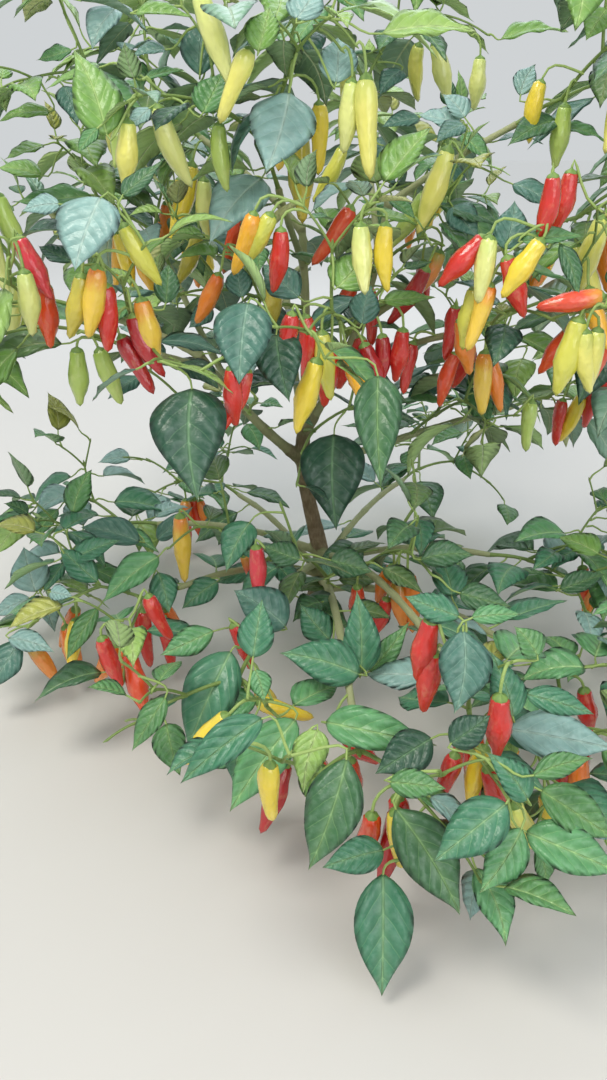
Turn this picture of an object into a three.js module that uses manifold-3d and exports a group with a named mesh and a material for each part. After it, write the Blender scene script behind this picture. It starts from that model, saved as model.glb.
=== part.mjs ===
// A fruiting chilli pepper plant in millimetres, +Z up, viewed in the photograph from the -Y side.
// The trunk's flat cut lies on z = 0 with its middle at the origin.
import * as THREE from "three";
import { mergeVertices } from "three/addons/utils/BufferGeometryUtils.js";
import Module from "manifold-3d";

const wasm = await Module();
wasm.setup();

const clearance = 0.3;
const tipSink = 1.5;
const keepClear = 1.5;
const trunkKeepClear = 2;
const spaceMargin = 1;
const groundClearance = 10;

// Woody stem, read off the photograph
const trunkLine = [[0, 0, 0], [8, 0, 77], [-2, 0, 133], [-10, 0, 173], [-18, 0, 229]];
const trunkBaseRadius = 12.5;
const trunkTipRadius = 8.5;
const flareRadius = 7;
const flareHeight = 26;
const flareLobes = 5;
const lobeDepth = 0.12;
const trunkSides = 10;
const trunkSteps = 8;
const limbSteps = 4;
const stoutBase = 5;
const limbSides = { stout: 8, slim: 5 };

// Fruit, hung on its stalk from a node
const stalkLength = 22;
const stalkRadius = 1.2;
const calyxRise = 6;
const fruitLength = 72;
const fruitRadius = 10;
const fruitSides = 5;
const fruitTwigs = 5;
const fruitHang = [-86, -66];
const fruitVary = [0.82, 1.14];
const stalkFree = 10;

// Leaves are kites folded along the midrib
const leafHalfWidth = 0.28;
const leafWidest = 0.44;
const leafFold = 0.2;
const leafThickness = 2.2;
const leafThickest = 0.32;
const leafSink = 0.6;
const leafFree = 6;
const leafVary = [0.84, 1.12];
const leafSway = 22;

// Twigs are three-sided and branch in two at each node
const twigRadius = 3.2;
const twigThinning = 0.88;
const twigSink = 5;
const rootPoint = 5;
const stemShare = 0.3;
const centreShare = 0.55;
const forkAngle = 38;
const forkSway = 9;
const rollSway = 35;
const shootVary = [0.85, 1.15];
const leafSpots = { stem: [0.72], shoot: [0.5, 0.93], last: [0.32, 0.66, 0.94] };
const fruitSpot = 0.78;
const leafTurn = 137.5;
const retries = [0, 42, -42];
const retryShrink = 0.93;

// Each twig draws its own numbers, so finer growth leaves the coarser growth as it is
const drawsPerSeed = 1000;
const fruitDraws = 300;
const leafDraws = 600;

// Limb, parent and share of the parent's length, then heading, rise and bend, then length, base and tip
const limbRows = [
  ["left_bough", "trunk", 0.97, [208, 41, 16], [203, 6.5, 4.8]],
  ["middle_bough", "trunk", 1, [0, 86, 8], [279, 7.2, 4.4]],
  ["upright_bough", "middle_bough", 0.1, [14, 56, 28], [296, 5.8, 4.2]],
  ["right_bough", "trunk", 0.9, [14, 17, -8], [290, 5.6, 3.8]],
  ["front_bough", "middle_bough", 0.22, [287, 28, 20], [150, 4.8, 3.6]],
  ["back_bough", "middle_bough", 0.12, [97, 27, 20], [261, 5.2, 3.9]],
  ["outer_left_bough", "left_bough", 0.97, [187, 34, -20], [130, 4.2, 3.6]],
  ["front_left_bough", "left_bough", 0.8, [242, 33, -15], [120, 4.2, 3.6]],
  ["back_left_bough", "left_bough", 0.6, [128, 39, 10], [200, 4.6, 3.6]],
  ["upper_left_bough", "middle_bough", 0.97, [170, 47, -14], [150, 4.1, 3.6]],
  ["upper_front_bough", "middle_bough", 0.84, [251, 42, 10], [120, 4.1, 3.6]],
  ["upper_right_bough", "upright_bough", 0.97, [346, 37, -10], [160, 4, 3.6]],
  ["top_bough", "upright_bough", 0.8, [100, 52, 18], [150, 4.1, 3.6]],
  ["middle_right_bough", "upright_bough", 0.5, [358, 36, -16], [225, 4.8, 3.6]],
  ["front_right_bough", "upright_bough", 0.3, [317, 29, -10], [180, 4.6, 3.6]],
  ["outer_back_bough", "back_bough", 0.8, [143, 27, -10], [140, 3.9, 3.6]],
  ["right_back_bough", "back_bough", 0.97, [40, 23, 10], [150, 3.8, 3.6]],
  ["low_left_bough", "trunk", 0.26, [219, 31, -34], [230, 5, 3.7]],
  ["low_outer_left_bough", "trunk", 0.4, [180, 26, -30], [220, 4.8, 3.7]],
  ["low_front_left_bough", "trunk", 0.33, [256, 27, -34], [320, 5, 3.7]],
  ["low_front_bough", "trunk", 0.2, [273, 34, -42], [440, 5.4, 3.7]],
  ["low_front_right_bough", "trunk", 0.38, [288, 28, -36], [370, 5, 3.7]],
  ["low_right_front_bough", "trunk", 0.15, [307, 31, -36], [360, 5, 3.7]],
  ["low_right_bough", "trunk", 0.32, [341, 30, -34], [230, 4.8, 3.7]],
  ["low_back_left_bough", "trunk", 0.24, [129, 34, -34], [200, 4.8, 3.7]],
  ["low_back_right_bough", "trunk", 0.3, [53, 33, -34], [220, 4.8, 3.7]],
];

// Mass, bough and share of its length, heading and rise where it leaves a bough's side,
// reach of the mass and length of its leaves, fruit, kind and seed
const massRows = [
  ["outer_left_foliage", "outer_left_bough", 1, null, [185, 118], 2, "crown", 1431],
  ["front_left_foliage", "front_left_bough", 1, null, [185, 118], 3, "crown", 1265],
  ["back_left_foliage", "back_left_bough", 1, null, [185, 118], 2, "crown", 1388],
  ["upper_left_foliage", "upper_left_bough", 1, null, [185, 114], 3, "crown", 1459],
  ["upper_front_foliage", "upper_front_bough", 1, null, [185, 114], 3, "crown", 1613],
  ["upper_right_foliage", "upper_right_bough", 1, null, [185, 114], 2, "crown", 1928],
  ["top_foliage", "top_bough", 1, null, [185, 114], 2, "crown", 1999],
  ["middle_right_foliage", "middle_right_bough", 1, null, [185, 118], 3, "crown", 1961],
  ["front_right_foliage", "front_right_bough", 1, null, [180, 118], 3, "crown", 2096],
  ["front_foliage", "front_bough", 1, null, [180, 118], 3, "crown", 2054],
  ["outer_back_foliage", "outer_back_bough", 1, null, [185, 118], 2, "crown", 210480],
  ["right_back_foliage", "right_back_bough", 1, null, [185, 118], 2, "crown", 252537],
  ["right_foliage", "right_bough", 1, null, [175, 118], 2, "crown", 2371],
  ["inner_right_foliage", "right_bough", 0.5, [335, 44], [165, 112], 2, "crown", 2568],
  ["inner_foliage", "middle_bough", 0.66, [222, 12], [165, 112], 3, "crown", 2699],
  ["centre_foliage", "upright_bough", 0.72, [275, 18], [165, 112], 3, "crown", 295417],
  ["hanging_left_foliage", "left_bough", 0.6, [258, 14], [150, 120], 1, "hanging", 280723],
  ["hanging_front_foliage", "middle_bough", 0.12, [290, 18], [140, 112], 1, "hanging", 2903],
  ["low_left_foliage", "low_left_bough", 1, null, [165, 100], 3, "low", 3294],
  ["low_outer_left_foliage", "low_outer_left_bough", 1, null, [165, 100], 1, "low", 3276],
  ["low_front_left_foliage", "low_front_left_bough", 1, null, [160, 100], 2, "low", 338667],
  ["low_front_foliage", "low_front_bough", 1, null, [165, 100], 3, "low", 362539],
  ["low_front_right_foliage", "low_front_right_bough", 1, null, [160, 100], 3, "low", 351210],
  ["low_right_front_foliage", "low_right_front_bough", 1, null, [165, 100], 2, "low", 374687],
  ["low_right_foliage", "low_right_bough", 1, null, [170, 100], 1, "low", 3997],
  ["low_back_left_foliage", "low_back_left_bough", 1, null, [165, 100], 2, "low", 3978],
  ["low_back_right_foliage", "low_back_right_bough", 1, null, [165, 100], 2, "low", 4037],
  ["low_inner_left_foliage", "low_left_bough", 0.4, [262, 40], [160, 90], 1, "inner", 417097],
  ["low_inner_front_foliage", "low_front_bough", 0.32, [268, 44], [160, 90], 1, "inner", 423024],
  ["low_inner_right_foliage", "low_front_right_bough", 0.42, [322, 44], [160, 90], 1, "inner", 442421],
];

// Leaf colour, droop in degrees, lift of the shoots toward the light, shoot lengths as shares of reach
const kinds = {
  crown: { colour: 0x6d8a4e, droop: [-60, -8], lift: 0.12, shoots: [0.42, 0.34] },
  hanging: { colour: 0x466b41, droop: [-84, -62], lift: 0, shoots: [0.4] },
  low: { colour: 0x55834a, droop: [-40, 2], lift: 0.1, shoots: [0.42, 0.34] },
  inner: { colour: 0x4d7a45, droop: [-45, 0], lift: 0.15, shoots: [0.45] },
};

const limbTable = limbRows.map(([name, from, at, [heading, rise, bend], [length, base, tip]]) => {
  return { name, from, at, heading, rise, bend, length, base, tip };
});

const massTable = massRows.map(([name, on, at, turn, [reach, leaf], fruit, kind, seed]) => {
  return { name, on, at, turn, reach, leaf, fruit, kind, seed };
});

const radians = THREE.MathUtils.degToRad;
const up = new THREE.Vector3(0, 0, 1);

function aim(heading, rise) {
  const flat = Math.cos(radians(rise));
  const turn = radians(heading);
  return new THREE.Vector3(flat * Math.cos(turn), flat * Math.sin(turn), Math.sin(radians(rise)));
}

function seeded(seed) {
  let state = seed;
  const draw = (low, high) => {
    state = (state * 16807) % 2147483647;
    return low + ((high - low) * state) / 2147483647;
  };
  draw(0, 1);
  draw(0, 1);
  return draw;
}

function along(point, direction, distance) {
  return point.clone().addScaledVector(direction, distance);
}

// A frame across a direction: one side level, the other as near to upright as it goes
function acrossFrame(direction) {
  const side = new THREE.Vector3().crossVectors(direction, up);
  if (side.length() < 1e-3) side.set(1, 0, 0);
  side.normalize();
  const rise = new THREE.Vector3().crossVectors(side, direction);
  return { side, rise };
}

// Closed solids out of three.js shapes, with the collapsed faces at an apex left out
function solidFrom(shape) {
  const bare = new THREE.BufferGeometry();
  bare.setAttribute("position", shape.attributes.position);
  if (shape.index) bare.setIndex(shape.index);
  const merged = mergeVertices(bare, 1e-3);
  const corners = [];
  for (let i = 0; i < merged.index.count; i += 3) {
    const [a, b, c] = [0, 1, 2].map((k) => merged.index.getX(i + k));
    if (a !== b && b !== c && c !== a) corners.push(a, b, c);
  }
  return new wasm.Manifold(
    new wasm.Mesh({
      numProp: 3,
      vertProperties: new Float32Array(merged.attributes.position.array),
      triVerts: new Uint32Array(corners),
    }),
  );
}

function shapeFrom(solid) {
  const mesh = solid.getMesh();
  const shape = new THREE.BufferGeometry();
  shape.setAttribute("position", new THREE.Float32BufferAttribute(mesh.vertProperties, 3));
  shape.setIndex(new THREE.Uint32BufferAttribute(mesh.triVerts, 1));
  return shape;
}

function joined(solids) {
  let whole = solids[0];
  for (const solid of solids.slice(1)) whole = whole.add(solid);
  return whole;
}

// The largest piece, with any sealed hollow in it filled
function mainPiece(solid) {
  const pieces = solid.decompose();
  return pieces.reduce((best, piece) => (piece.volume() > best.volume() ? piece : best));
}

// A cylinder's rings carried along a curve, with its ends moved out by an extra length
function limbShape(curve, radiusAt, sides, steps, extra) {
  const frames = curve.computeFrenetFrames(steps, false);
  const shape = new THREE.CylinderGeometry(1, 1, 1, sides, steps);
  const place = shape.attributes.position;
  for (let i = 0; i < place.count; i++) {
    const share = place.getY(i) + 0.5;
    const ring = Math.round(share * steps);
    const radius = radiusAt(share, Math.atan2(place.getZ(i), place.getX(i)));
    const spot = curve.getPointAt(ring / steps);
    if (ring === 0) spot.addScaledVector(frames.tangents[ring], -extra);
    if (ring === steps) spot.addScaledVector(frames.tangents[ring], extra);
    spot.addScaledVector(frames.normals[ring], place.getX(i) * radius);
    spot.addScaledVector(frames.binormals[ring], -place.getZ(i) * radius);
    place.setXYZ(i, spot.x, spot.y, spot.z);
  }
  return shape;
}

function trunkRadius(share, angle, height) {
  const taper = THREE.MathUtils.lerp(trunkBaseRadius, trunkTipRadius, share);
  const flare = flareRadius * Math.exp(-height / flareHeight);
  const lobe = 1 + lobeDepth * Math.cos(flareLobes * angle) * Math.exp(-height / (2 * flareHeight));
  return (taper + flare) * lobe;
}

function trunkShape(extra) {
  const curve = new THREE.CatmullRomCurve3(trunkLine.map((spot) => new THREE.Vector3(...spot)));
  const radiusAt = (share, angle) => trunkRadius(share, angle, share * curve.getLength()) + extra;
  const shape = limbShape(curve, radiusAt, trunkSides, trunkSteps, extra);
  const place = shape.attributes.position;
  for (let i = 0; i < place.count; i++) {
    if (place.getZ(i) < trunkBaseRadius / 2) place.setZ(i, -extra);
  }
  return { shape, curve };
}

function boughLine(bough, start) {
  const points = [start];
  for (let i = 0; i < limbSteps; i++) {
    const rise = bough.rise + (bough.bend * (i + 0.5)) / limbSteps;
    points.push(along(points[i], aim(bough.heading, rise), bough.length / limbSteps));
  }
  return points;
}

// Where a share of the way up a limb lies on the straight steps between its points
function pointOn(points, share) {
  const x = share * (points.length - 1);
  const i = Math.min(Math.floor(x), points.length - 2);
  return points[i].clone().lerp(points[i + 1], x - i);
}

function tipDirection(points) {
  return points.at(-1).clone().sub(points.at(-2)).normalize();
}

// Flat crossed strips stand for a limb or a fruit when growth is kept clear of it
function stripAround(from, to, halfWidth) {
  const direction = to.clone().sub(from).normalize();
  const { side, rise } = acrossFrame(direction);
  const faces = [];
  const edges = [];
  for (const across of [side, rise]) {
    const [a, b] = [along(from, across, halfWidth), along(from, across, -halfWidth)];
    const [c, d] = [along(to, across, -halfWidth), along(to, across, halfWidth)];
    faces.push([a, b, c], [a, c, d]);
    edges.push([a, b], [b, c], [c, d], [d, a]);
  }
  return withSpan({ faces, edges });
}

function withSpan(item) {
  const spots = item.edges.flat();
  item.middle = spots.reduce((sum, spot) => sum.add(spot), new THREE.Vector3()).divideScalar(spots.length);
  item.span = Math.max(...spots.map((spot) => spot.distanceTo(item.middle)));
  return item;
}

function pierces([from, to], [a, b, c]) {
  const ray = to.clone().sub(from);
  const first = b.clone().sub(a);
  const second = c.clone().sub(a);
  const across = ray.clone().cross(second);
  const det = first.dot(across);
  if (Math.abs(det) < 1e-9) return false;
  const offset = from.clone().sub(a);
  const u = offset.dot(across) / det;
  const turned = offset.clone().cross(first);
  const v = ray.dot(turned) / det;
  const t = second.dot(turned) / det;
  return u >= 0 && v >= 0 && u + v <= 1 && t >= 0 && t <= 1;
}

function meet(one, other) {
  if (one.middle.distanceTo(other.middle) > one.span + other.span) return false;
  const hit = (edges, faces) => edges.some((edge) => faces.some((face) => pierces(edge, face)));
  return hit(one.edges, other.faces) || hit(other.edges, one.faces);
}

// A mass keeps inside its ball and on its own side of the planes between it and its neighbours
function insideSpace(mass, masses, spots) {
  return spots.every((spot) => {
    if (spot.z < groundClearance) return false;
    if (spot.distanceTo(mass.centre) > mass.reach) return false;
    return masses.every((other) => {
      if (other === mass) return true;
      const apart = other.centre.distanceTo(mass.centre);
      const nearer = spot.distanceToSquared(other.centre) - spot.distanceToSquared(mass.centre);
      return nearer / (2 * apart) > spaceMargin;
    });
  });
}

function leafCorners(leaf) {
  const { side, rise } = acrossFrame(leaf.direction);
  const level = side.clone().multiplyScalar(Math.cos(leaf.roll)).addScaledVector(rise, Math.sin(leaf.roll));
  const face = new THREE.Vector3().crossVectors(level, leaf.direction);
  const half = leafHalfWidth * leaf.length;
  const widest = along(leaf.root, leaf.direction, leafWidest * leaf.length);
  return {
    root: along(leaf.root, leaf.direction, -leafSink),
    left: along(along(widest, level, -half), face, leafFold * half),
    right: along(along(widest, level, half), face, leafFold * half),
    middle: along(along(leaf.root, leaf.direction, leafThickest * leaf.length), face, leafThickness),
    tip: along(leaf.root, leaf.direction, leaf.length),
  };
}

function leafItem(leaf) {
  const { left, right, tip } = leafCorners(leaf);
  const root = along(leaf.root, leaf.direction, leafFree);
  const faces = [[root, left, tip], [root, tip, right]];
  return withSpan({ faces, edges: [[root, left], [left, tip], [tip, right], [right, root], [root, tip]] });
}

// A three-sided cone whose point and base middle go to the leaf's sides and its ring to the midrib
function leafShape(leaf) {
  const { root, left, right, middle, tip } = leafCorners(leaf);
  const shape = new THREE.ConeGeometry(1, 1, 3);
  const place = shape.attributes.position;
  const target = (x, y, z) => {
    if (y > 0) return left;
    if (Math.hypot(x, z) < 0.5) return right;
    if (z > 0.5) return middle;
    return x > 0 ? tip : root;
  };
  for (let i = 0; i < place.count; i++) {
    place.setXYZ(i, ...target(place.getX(i), place.getY(i), place.getZ(i)));
  }
  return shape;
}

function fruitShape(fruit) {
  const shoulder = stalkLength + calyxRise;
  const profile = [
    [0, 0],
    [stalkRadius, -1.5],
    [stalkRadius * 1.4, -stalkLength],
    [fruitRadius, -shoulder],
    [fruitRadius * 0.8, -shoulder - fruit.length * 0.6],
    [0, -shoulder - fruit.length],
  ].map(([radius, height]) => new THREE.Vector2(radius, height));
  const shape = new THREE.LatheGeometry(profile.reverse(), fruitSides);
  const downward = new THREE.Vector3(0, -1, 0);
  shape.applyQuaternion(new THREE.Quaternion().setFromUnitVectors(downward, fruit.direction));
  shape.translate(fruit.root.x, fruit.root.y, fruit.root.z);
  return shape;
}

function fruitItem(fruit) {
  const from = along(fruit.root, fruit.direction, stalkFree);
  return stripAround(from, fruit.tip, fruitRadius);
}

// A three-sided spindle: pointed where it sits in its parent, full a little way out
function twigShape(twig) {
  const shape = new THREE.CylinderGeometry(1, 1, 2, 3, 2);
  const place = shape.attributes.position;
  for (let i = 0; i < place.count; i++) {
    const level = Math.round(place.getY(i)) + 1;
    const radius = [0, twig.radius, twig.radius * twigThinning][level];
    const height = [0, rootPoint, twig.length][level];
    place.setXYZ(i, place.getX(i) * radius, height, place.getZ(i) * radius);
  }
  const upward = new THREE.Vector3(0, 1, 0);
  shape.applyQuaternion(new THREE.Quaternion().setFromUnitVectors(upward, twig.direction));
  shape.translate(twig.start.x, twig.start.y, twig.start.z);
  return shape;
}

function makeTwig(start, direction, length, radius, depth, number) {
  const twig = { start, direction, length, radius, depth, number, end: along(start, direction, length) };
  twig.edges = [[start, twig.end]];
  twig.faces = [];
  return withSpan(twig);
}

// Two shoots leave a node on opposite sides, turned a quarter from the pair before
function shootsFrom(mass, twig, draw) {
  const { side, rise } = acrossFrame(twig.direction);
  const roll = radians(draw(-rollSway, rollSway) + twig.depth * 90);
  const across = side.clone().multiplyScalar(Math.cos(roll)).addScaledVector(rise, Math.sin(roll));
  return [-1, 1].map((hand, i) => {
    const angle = radians(forkAngle + draw(-forkSway, forkSway));
    const length = mass.reach * kinds[mass.kind].shoots[twig.depth] * draw(...shootVary);
    const direction = twig.direction.clone().multiplyScalar(Math.cos(angle));
    direction.addScaledVector(across, hand * Math.sin(angle));
    direction.z += kinds[mass.kind].lift;
    direction.normalize();
    const start = along(twig.end, twig.direction, -twigSink);
    const radius = twig.radius * twigThinning;
    return makeTwig(start, direction, length, radius, twig.depth + 1, twig.number * 2 + i);
  });
}

function growTwigs(mass, masses, limbItems) {
  const stemLength = mass.reach * stemShare;
  const twigs = [makeTwig(mass.start, mass.direction, stemLength, twigRadius, 0, 1)];
  for (let i = 0; i < twigs.length; i++) {
    const twig = twigs[i];
    if (twig.depth === kinds[mass.kind].shoots.length) continue;
    const draw = seeded(mass.seed * drawsPerSeed + twig.number);
    for (const shoot of shootsFrom(mass, twig, draw)) {
      const clear = !limbItems.some((limb) => meet(shoot, limb));
      if (clear && insideSpace(mass, masses, [shoot.end])) twigs.push(shoot);
    }
  }
  return twigs;
}

function growFruit(mass, masses, twigs, limbItems) {
  const fruits = [];
  for (const twig of twigs) {
    const draw = seeded(mass.seed * drawsPerSeed + fruitDraws + twig.number);
    const wanted = draw(0, 1) < mass.fruit / fruitTwigs;
    const direction = aim(draw(0, 360), draw(...fruitHang));
    const length = fruitLength * draw(...fruitVary);
    const root = along(twig.start, twig.direction, twig.length * fruitSpot);
    const tip = along(root, direction, stalkLength + calyxRise + length);
    const fruit = { root, direction, length, tip, item: fruitItem({ root, direction, tip }) };
    const others = twigs.filter((one) => one !== twig);
    const near = [...limbItems, ...others, ...fruits.map((one) => one.item)];
    const clear = !near.some((item) => meet(fruit.item, item));
    if (wanted && clear && insideSpace(mass, masses, fruit.item.edges.flat())) fruits.push(fruit);
  }
  return fruits;
}

function spotsOn(twig, mass) {
  if (twig.depth === 0) return leafSpots.stem;
  return twig.depth < kinds[mass.kind].shoots.length ? leafSpots.shoot : leafSpots.last;
}

function growLeaves(mass, masses, twigs, solidItems) {
  const leaves = [];
  const { droop } = kinds[mass.kind];
  for (const twig of twigs) {
    const draw = seeded(mass.seed * drawsPerSeed + leafDraws + twig.number);
    const first = draw(0, 360);
    const others = twigs.filter((one) => one !== twig);
    for (const [i, spot] of spotsOn(twig, mass).entries()) {
      const turn = first + leafTurn * i + draw(-leafSway, leafSway);
      const rise = draw(...droop);
      const length = mass.leaf * draw(...leafVary);
      const roll = radians(draw(-leafSway, leafSway));
      const root = along(twig.start, twig.direction, twig.length * spot);
      for (const [attempt, aside] of retries.entries()) {
        const direction = aim(turn + aside, rise);
        const leaf = { root, direction, length: length * retryShrink ** attempt, roll };
        leaf.item = leafItem(leaf);
        const near = [...solidItems, ...others, ...leaves.map((one) => one.item)];
        const clear = !near.some((item) => meet(leaf.item, item));
        if (clear && insideSpace(mass, masses, leaf.item.edges.flat())) {
          leaves.push(leaf);
          break;
        }
      }
    }
  }
  return leaves;
}

function placeMass(mass, limbs) {
  const limb = limbs.get(mass.on);
  const fromTip = mass.at === 1;
  mass.direction = fromTip ? tipDirection(limb.points) : aim(...mass.turn);
  mass.start = along(pointOn(limb.points, mass.at), mass.direction, fromTip ? -tipSink : 0);
  mass.centre = along(mass.start, mass.direction, mass.reach * centreShare);
  const stemEnd = along(mass.start, mass.direction, mass.reach * stemShare);
  mass.stemItem = stripAround(mass.start, stemEnd, twigRadius + keepClear);
}

function growMass(mass, masses, limbItems) {
  const twigs = growTwigs(mass, masses, limbItems);
  const fruits = growFruit(mass, masses, twigs, limbItems);
  const obstacles = [...limbItems, ...fruits.map((fruit) => fruit.item)];
  const leaves = growLeaves(mass, masses, twigs, obstacles);
  return { twigs, fruits, leaves };
}

function massSolid(growth) {
  return joined([
    ...growth.twigs.map((twig) => solidFrom(twigShape(twig))),
    ...growth.fruits.map((fruit) => solidFrom(fruitShape(fruit))),
    ...growth.leaves.map((leaf) => solidFrom(leafShape(leaf))),
  ]);
}

function barkMaterial() {
  return new THREE.MeshStandardMaterial({ color: 0x7d6c58, roughness: 0.85, metalness: 0 });
}

function shootMaterial() {
  return new THREE.MeshStandardMaterial({ color: 0x79804f, roughness: 0.7, metalness: 0 });
}

function foliageMaterial(kind) {
  return new THREE.MeshStandardMaterial({ color: kinds[kind].colour, roughness: 0.55, metalness: 0 });
}

function namedMesh(name, shape, material) {
  const mesh = new THREE.Mesh(shape, material);
  mesh.name = name;
  return mesh;
}

const plant = new THREE.Group();
plant.name = "chilli_plant";

// Trunk and boughs, each cut back from the ones before it
const limbs = new Map();
const keepOut = [];
const limbItems = [];
const trunk = trunkShape(0);
limbs.set("trunk", { points: trunk.curve.getSpacedPoints(trunkSteps) });
keepOut.push(solidFrom(trunkShape(clearance).shape));
plant.add(namedMesh("trunk", shapeFrom(solidFrom(trunk.shape)), barkMaterial()));
for (let i = 0; i < trunkSteps; i++) {
  const { points } = limbs.get("trunk");
  limbItems.push(stripAround(points[i], points[i + 1], trunkBaseRadius + trunkKeepClear));
}

for (const bough of limbTable) {
  const parent = limbs.get(bough.from);
  const start = pointOn(parent.points, bough.at);
  if (bough.at === 1) start.addScaledVector(tipDirection(parent.points), -tipSink);
  const points = boughLine(bough, start);
  const curve = new THREE.CatmullRomCurve3(points);
  const sides = bough.base > stoutBase ? limbSides.stout : limbSides.slim;
  const shapeWith = (extra) => {
    const radiusAt = (share) => THREE.MathUtils.lerp(bough.base, bough.tip, share) + extra;
    return solidFrom(limbShape(curve, radiusAt, sides, limbSteps, extra));
  };
  let solid = shapeWith(0);
  for (const other of keepOut) solid = solid.subtract(other);
  limbs.set(bough.name, { points });
  keepOut.push(shapeWith(clearance));
  plant.add(namedMesh(bough.name, shapeFrom(mainPiece(solid)), shootMaterial()));
  for (let i = 0; i < limbSteps; i++) {
    const radius = THREE.MathUtils.lerp(bough.base, bough.tip, i / limbSteps);
    limbItems.push(stripAround(points[i], points[i + 1], radius + keepClear));
  }
}

// Foliage masses, grown and cut back from every limb they come near
for (const mass of massTable) placeMass(mass, limbs);
for (const mass of massTable) {
  const stems = massTable.filter((other) => other !== mass).map((other) => other.stemItem);
  const growth = growMass(mass, massTable, [...limbItems, ...stems]);
  let solid = massSolid(growth);
  for (const other of keepOut) solid = solid.subtract(other);
  plant.add(namedMesh(mass.name, shapeFrom(mainPiece(solid)), foliageMaterial(mass.kind)));
}

export default plant;
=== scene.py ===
# A fruiting chilli pepper plant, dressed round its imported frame. Growth is worked out in millimetres.
import math
import bpy
import numpy as np
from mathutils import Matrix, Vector, kdtree, noise


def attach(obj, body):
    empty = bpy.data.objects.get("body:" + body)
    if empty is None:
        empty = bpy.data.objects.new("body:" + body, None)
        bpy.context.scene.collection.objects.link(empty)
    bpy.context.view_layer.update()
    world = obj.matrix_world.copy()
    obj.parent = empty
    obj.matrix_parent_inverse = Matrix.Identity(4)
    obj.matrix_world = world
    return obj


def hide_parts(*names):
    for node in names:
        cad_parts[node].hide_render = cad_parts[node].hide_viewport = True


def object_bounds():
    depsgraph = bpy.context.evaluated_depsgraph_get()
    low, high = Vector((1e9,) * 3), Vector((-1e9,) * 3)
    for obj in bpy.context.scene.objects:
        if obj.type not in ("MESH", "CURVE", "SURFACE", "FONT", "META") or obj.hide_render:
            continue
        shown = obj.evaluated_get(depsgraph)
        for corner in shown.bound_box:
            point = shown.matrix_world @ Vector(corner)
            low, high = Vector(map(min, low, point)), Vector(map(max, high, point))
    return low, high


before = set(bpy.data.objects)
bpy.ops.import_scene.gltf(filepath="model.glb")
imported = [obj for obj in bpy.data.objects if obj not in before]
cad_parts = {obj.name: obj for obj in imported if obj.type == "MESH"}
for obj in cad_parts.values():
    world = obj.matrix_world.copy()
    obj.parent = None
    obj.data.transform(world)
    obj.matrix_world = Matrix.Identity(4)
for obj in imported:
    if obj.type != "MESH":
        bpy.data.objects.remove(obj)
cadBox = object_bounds()
print("frame loaded:", len(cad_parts), "nodes")

millimetre = 0.001
upward = np.array([0.0, 0.0, 1.0])

# The same limbs as the frame: parent and share of its length, heading, rise and bend, length, base and tip
trunkLine = [(0, 0, 0), (8, 0, 77), (-2, 0, 133), (-10, 0, 173), (-18, 0, 229)]
trunk = {"base": 12.5, "tip": 8.5, "flare": 7, "flareHeight": 26, "lobes": 5, "lobeDepth": 0.12, "steps": 8}
limbSteps = 4
tipSink = 1.5
keepClear = 1.5
trunkKeepClear = 2
limbRows = [
    ("left", "trunk", 0.97, (208, 41, 16), (203, 6.5, 4.8)),
    ("middle", "trunk", 1, (0, 86, 8), (279, 7.2, 4.4)),
    ("upright", "middle", 0.1, (14, 56, 28), (296, 5.8, 4.2)),
    ("right", "trunk", 0.9, (14, 17, -8), (290, 5.6, 3.8)),
    ("front", "middle", 0.22, (287, 28, 20), (150, 4.8, 3.6)),
    ("back", "middle", 0.12, (97, 27, 20), (261, 5.2, 3.9)),
    ("outer_left", "left", 0.97, (187, 34, -20), (130, 4.2, 3.6)),
    ("front_left", "left", 0.8, (242, 33, -15), (120, 4.2, 3.6)),
    ("back_left", "left", 0.6, (128, 39, 10), (200, 4.6, 3.6)),
    ("upper_left", "middle", 0.97, (170, 47, -14), (150, 4.1, 3.6)),
    ("upper_front", "middle", 0.84, (251, 42, 10), (120, 4.1, 3.6)),
    ("upper_right", "upright", 0.97, (346, 37, -10), (160, 4, 3.6)),
    ("top", "upright", 0.8, (100, 52, 18), (150, 4.1, 3.6)),
    ("middle_right", "upright", 0.5, (358, 36, -16), (225, 4.8, 3.6)),
    ("front_right", "upright", 0.3, (317, 29, -10), (180, 4.6, 3.6)),
    ("outer_back", "back", 0.8, (143, 27, -10), (140, 3.9, 3.6)),
    ("right_back", "back", 0.97, (40, 23, 10), (150, 3.8, 3.6)),
    ("low_left", "trunk", 0.26, (219, 31, -34), (230, 5, 3.7)),
    ("low_outer_left", "trunk", 0.4, (180, 26, -30), (220, 4.8, 3.7)),
    ("low_front_left", "trunk", 0.33, (256, 27, -34), (320, 5, 3.7)),
    ("low_front", "trunk", 0.2, (273, 34, -42), (440, 5.4, 3.7)),
    ("low_front_right", "trunk", 0.38, (288, 28, -36), (370, 5, 3.7)),
    ("low_right_front", "trunk", 0.15, (307, 31, -36), (360, 5, 3.7)),
    ("low_right", "trunk", 0.32, (341, 30, -34), (230, 4.8, 3.7)),
    ("low_back_left", "trunk", 0.24, (129, 34, -34), (200, 4.8, 3.7)),
    ("low_back_right", "trunk", 0.3, (53, 33, -34), (220, 4.8, 3.7)),
]

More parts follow.
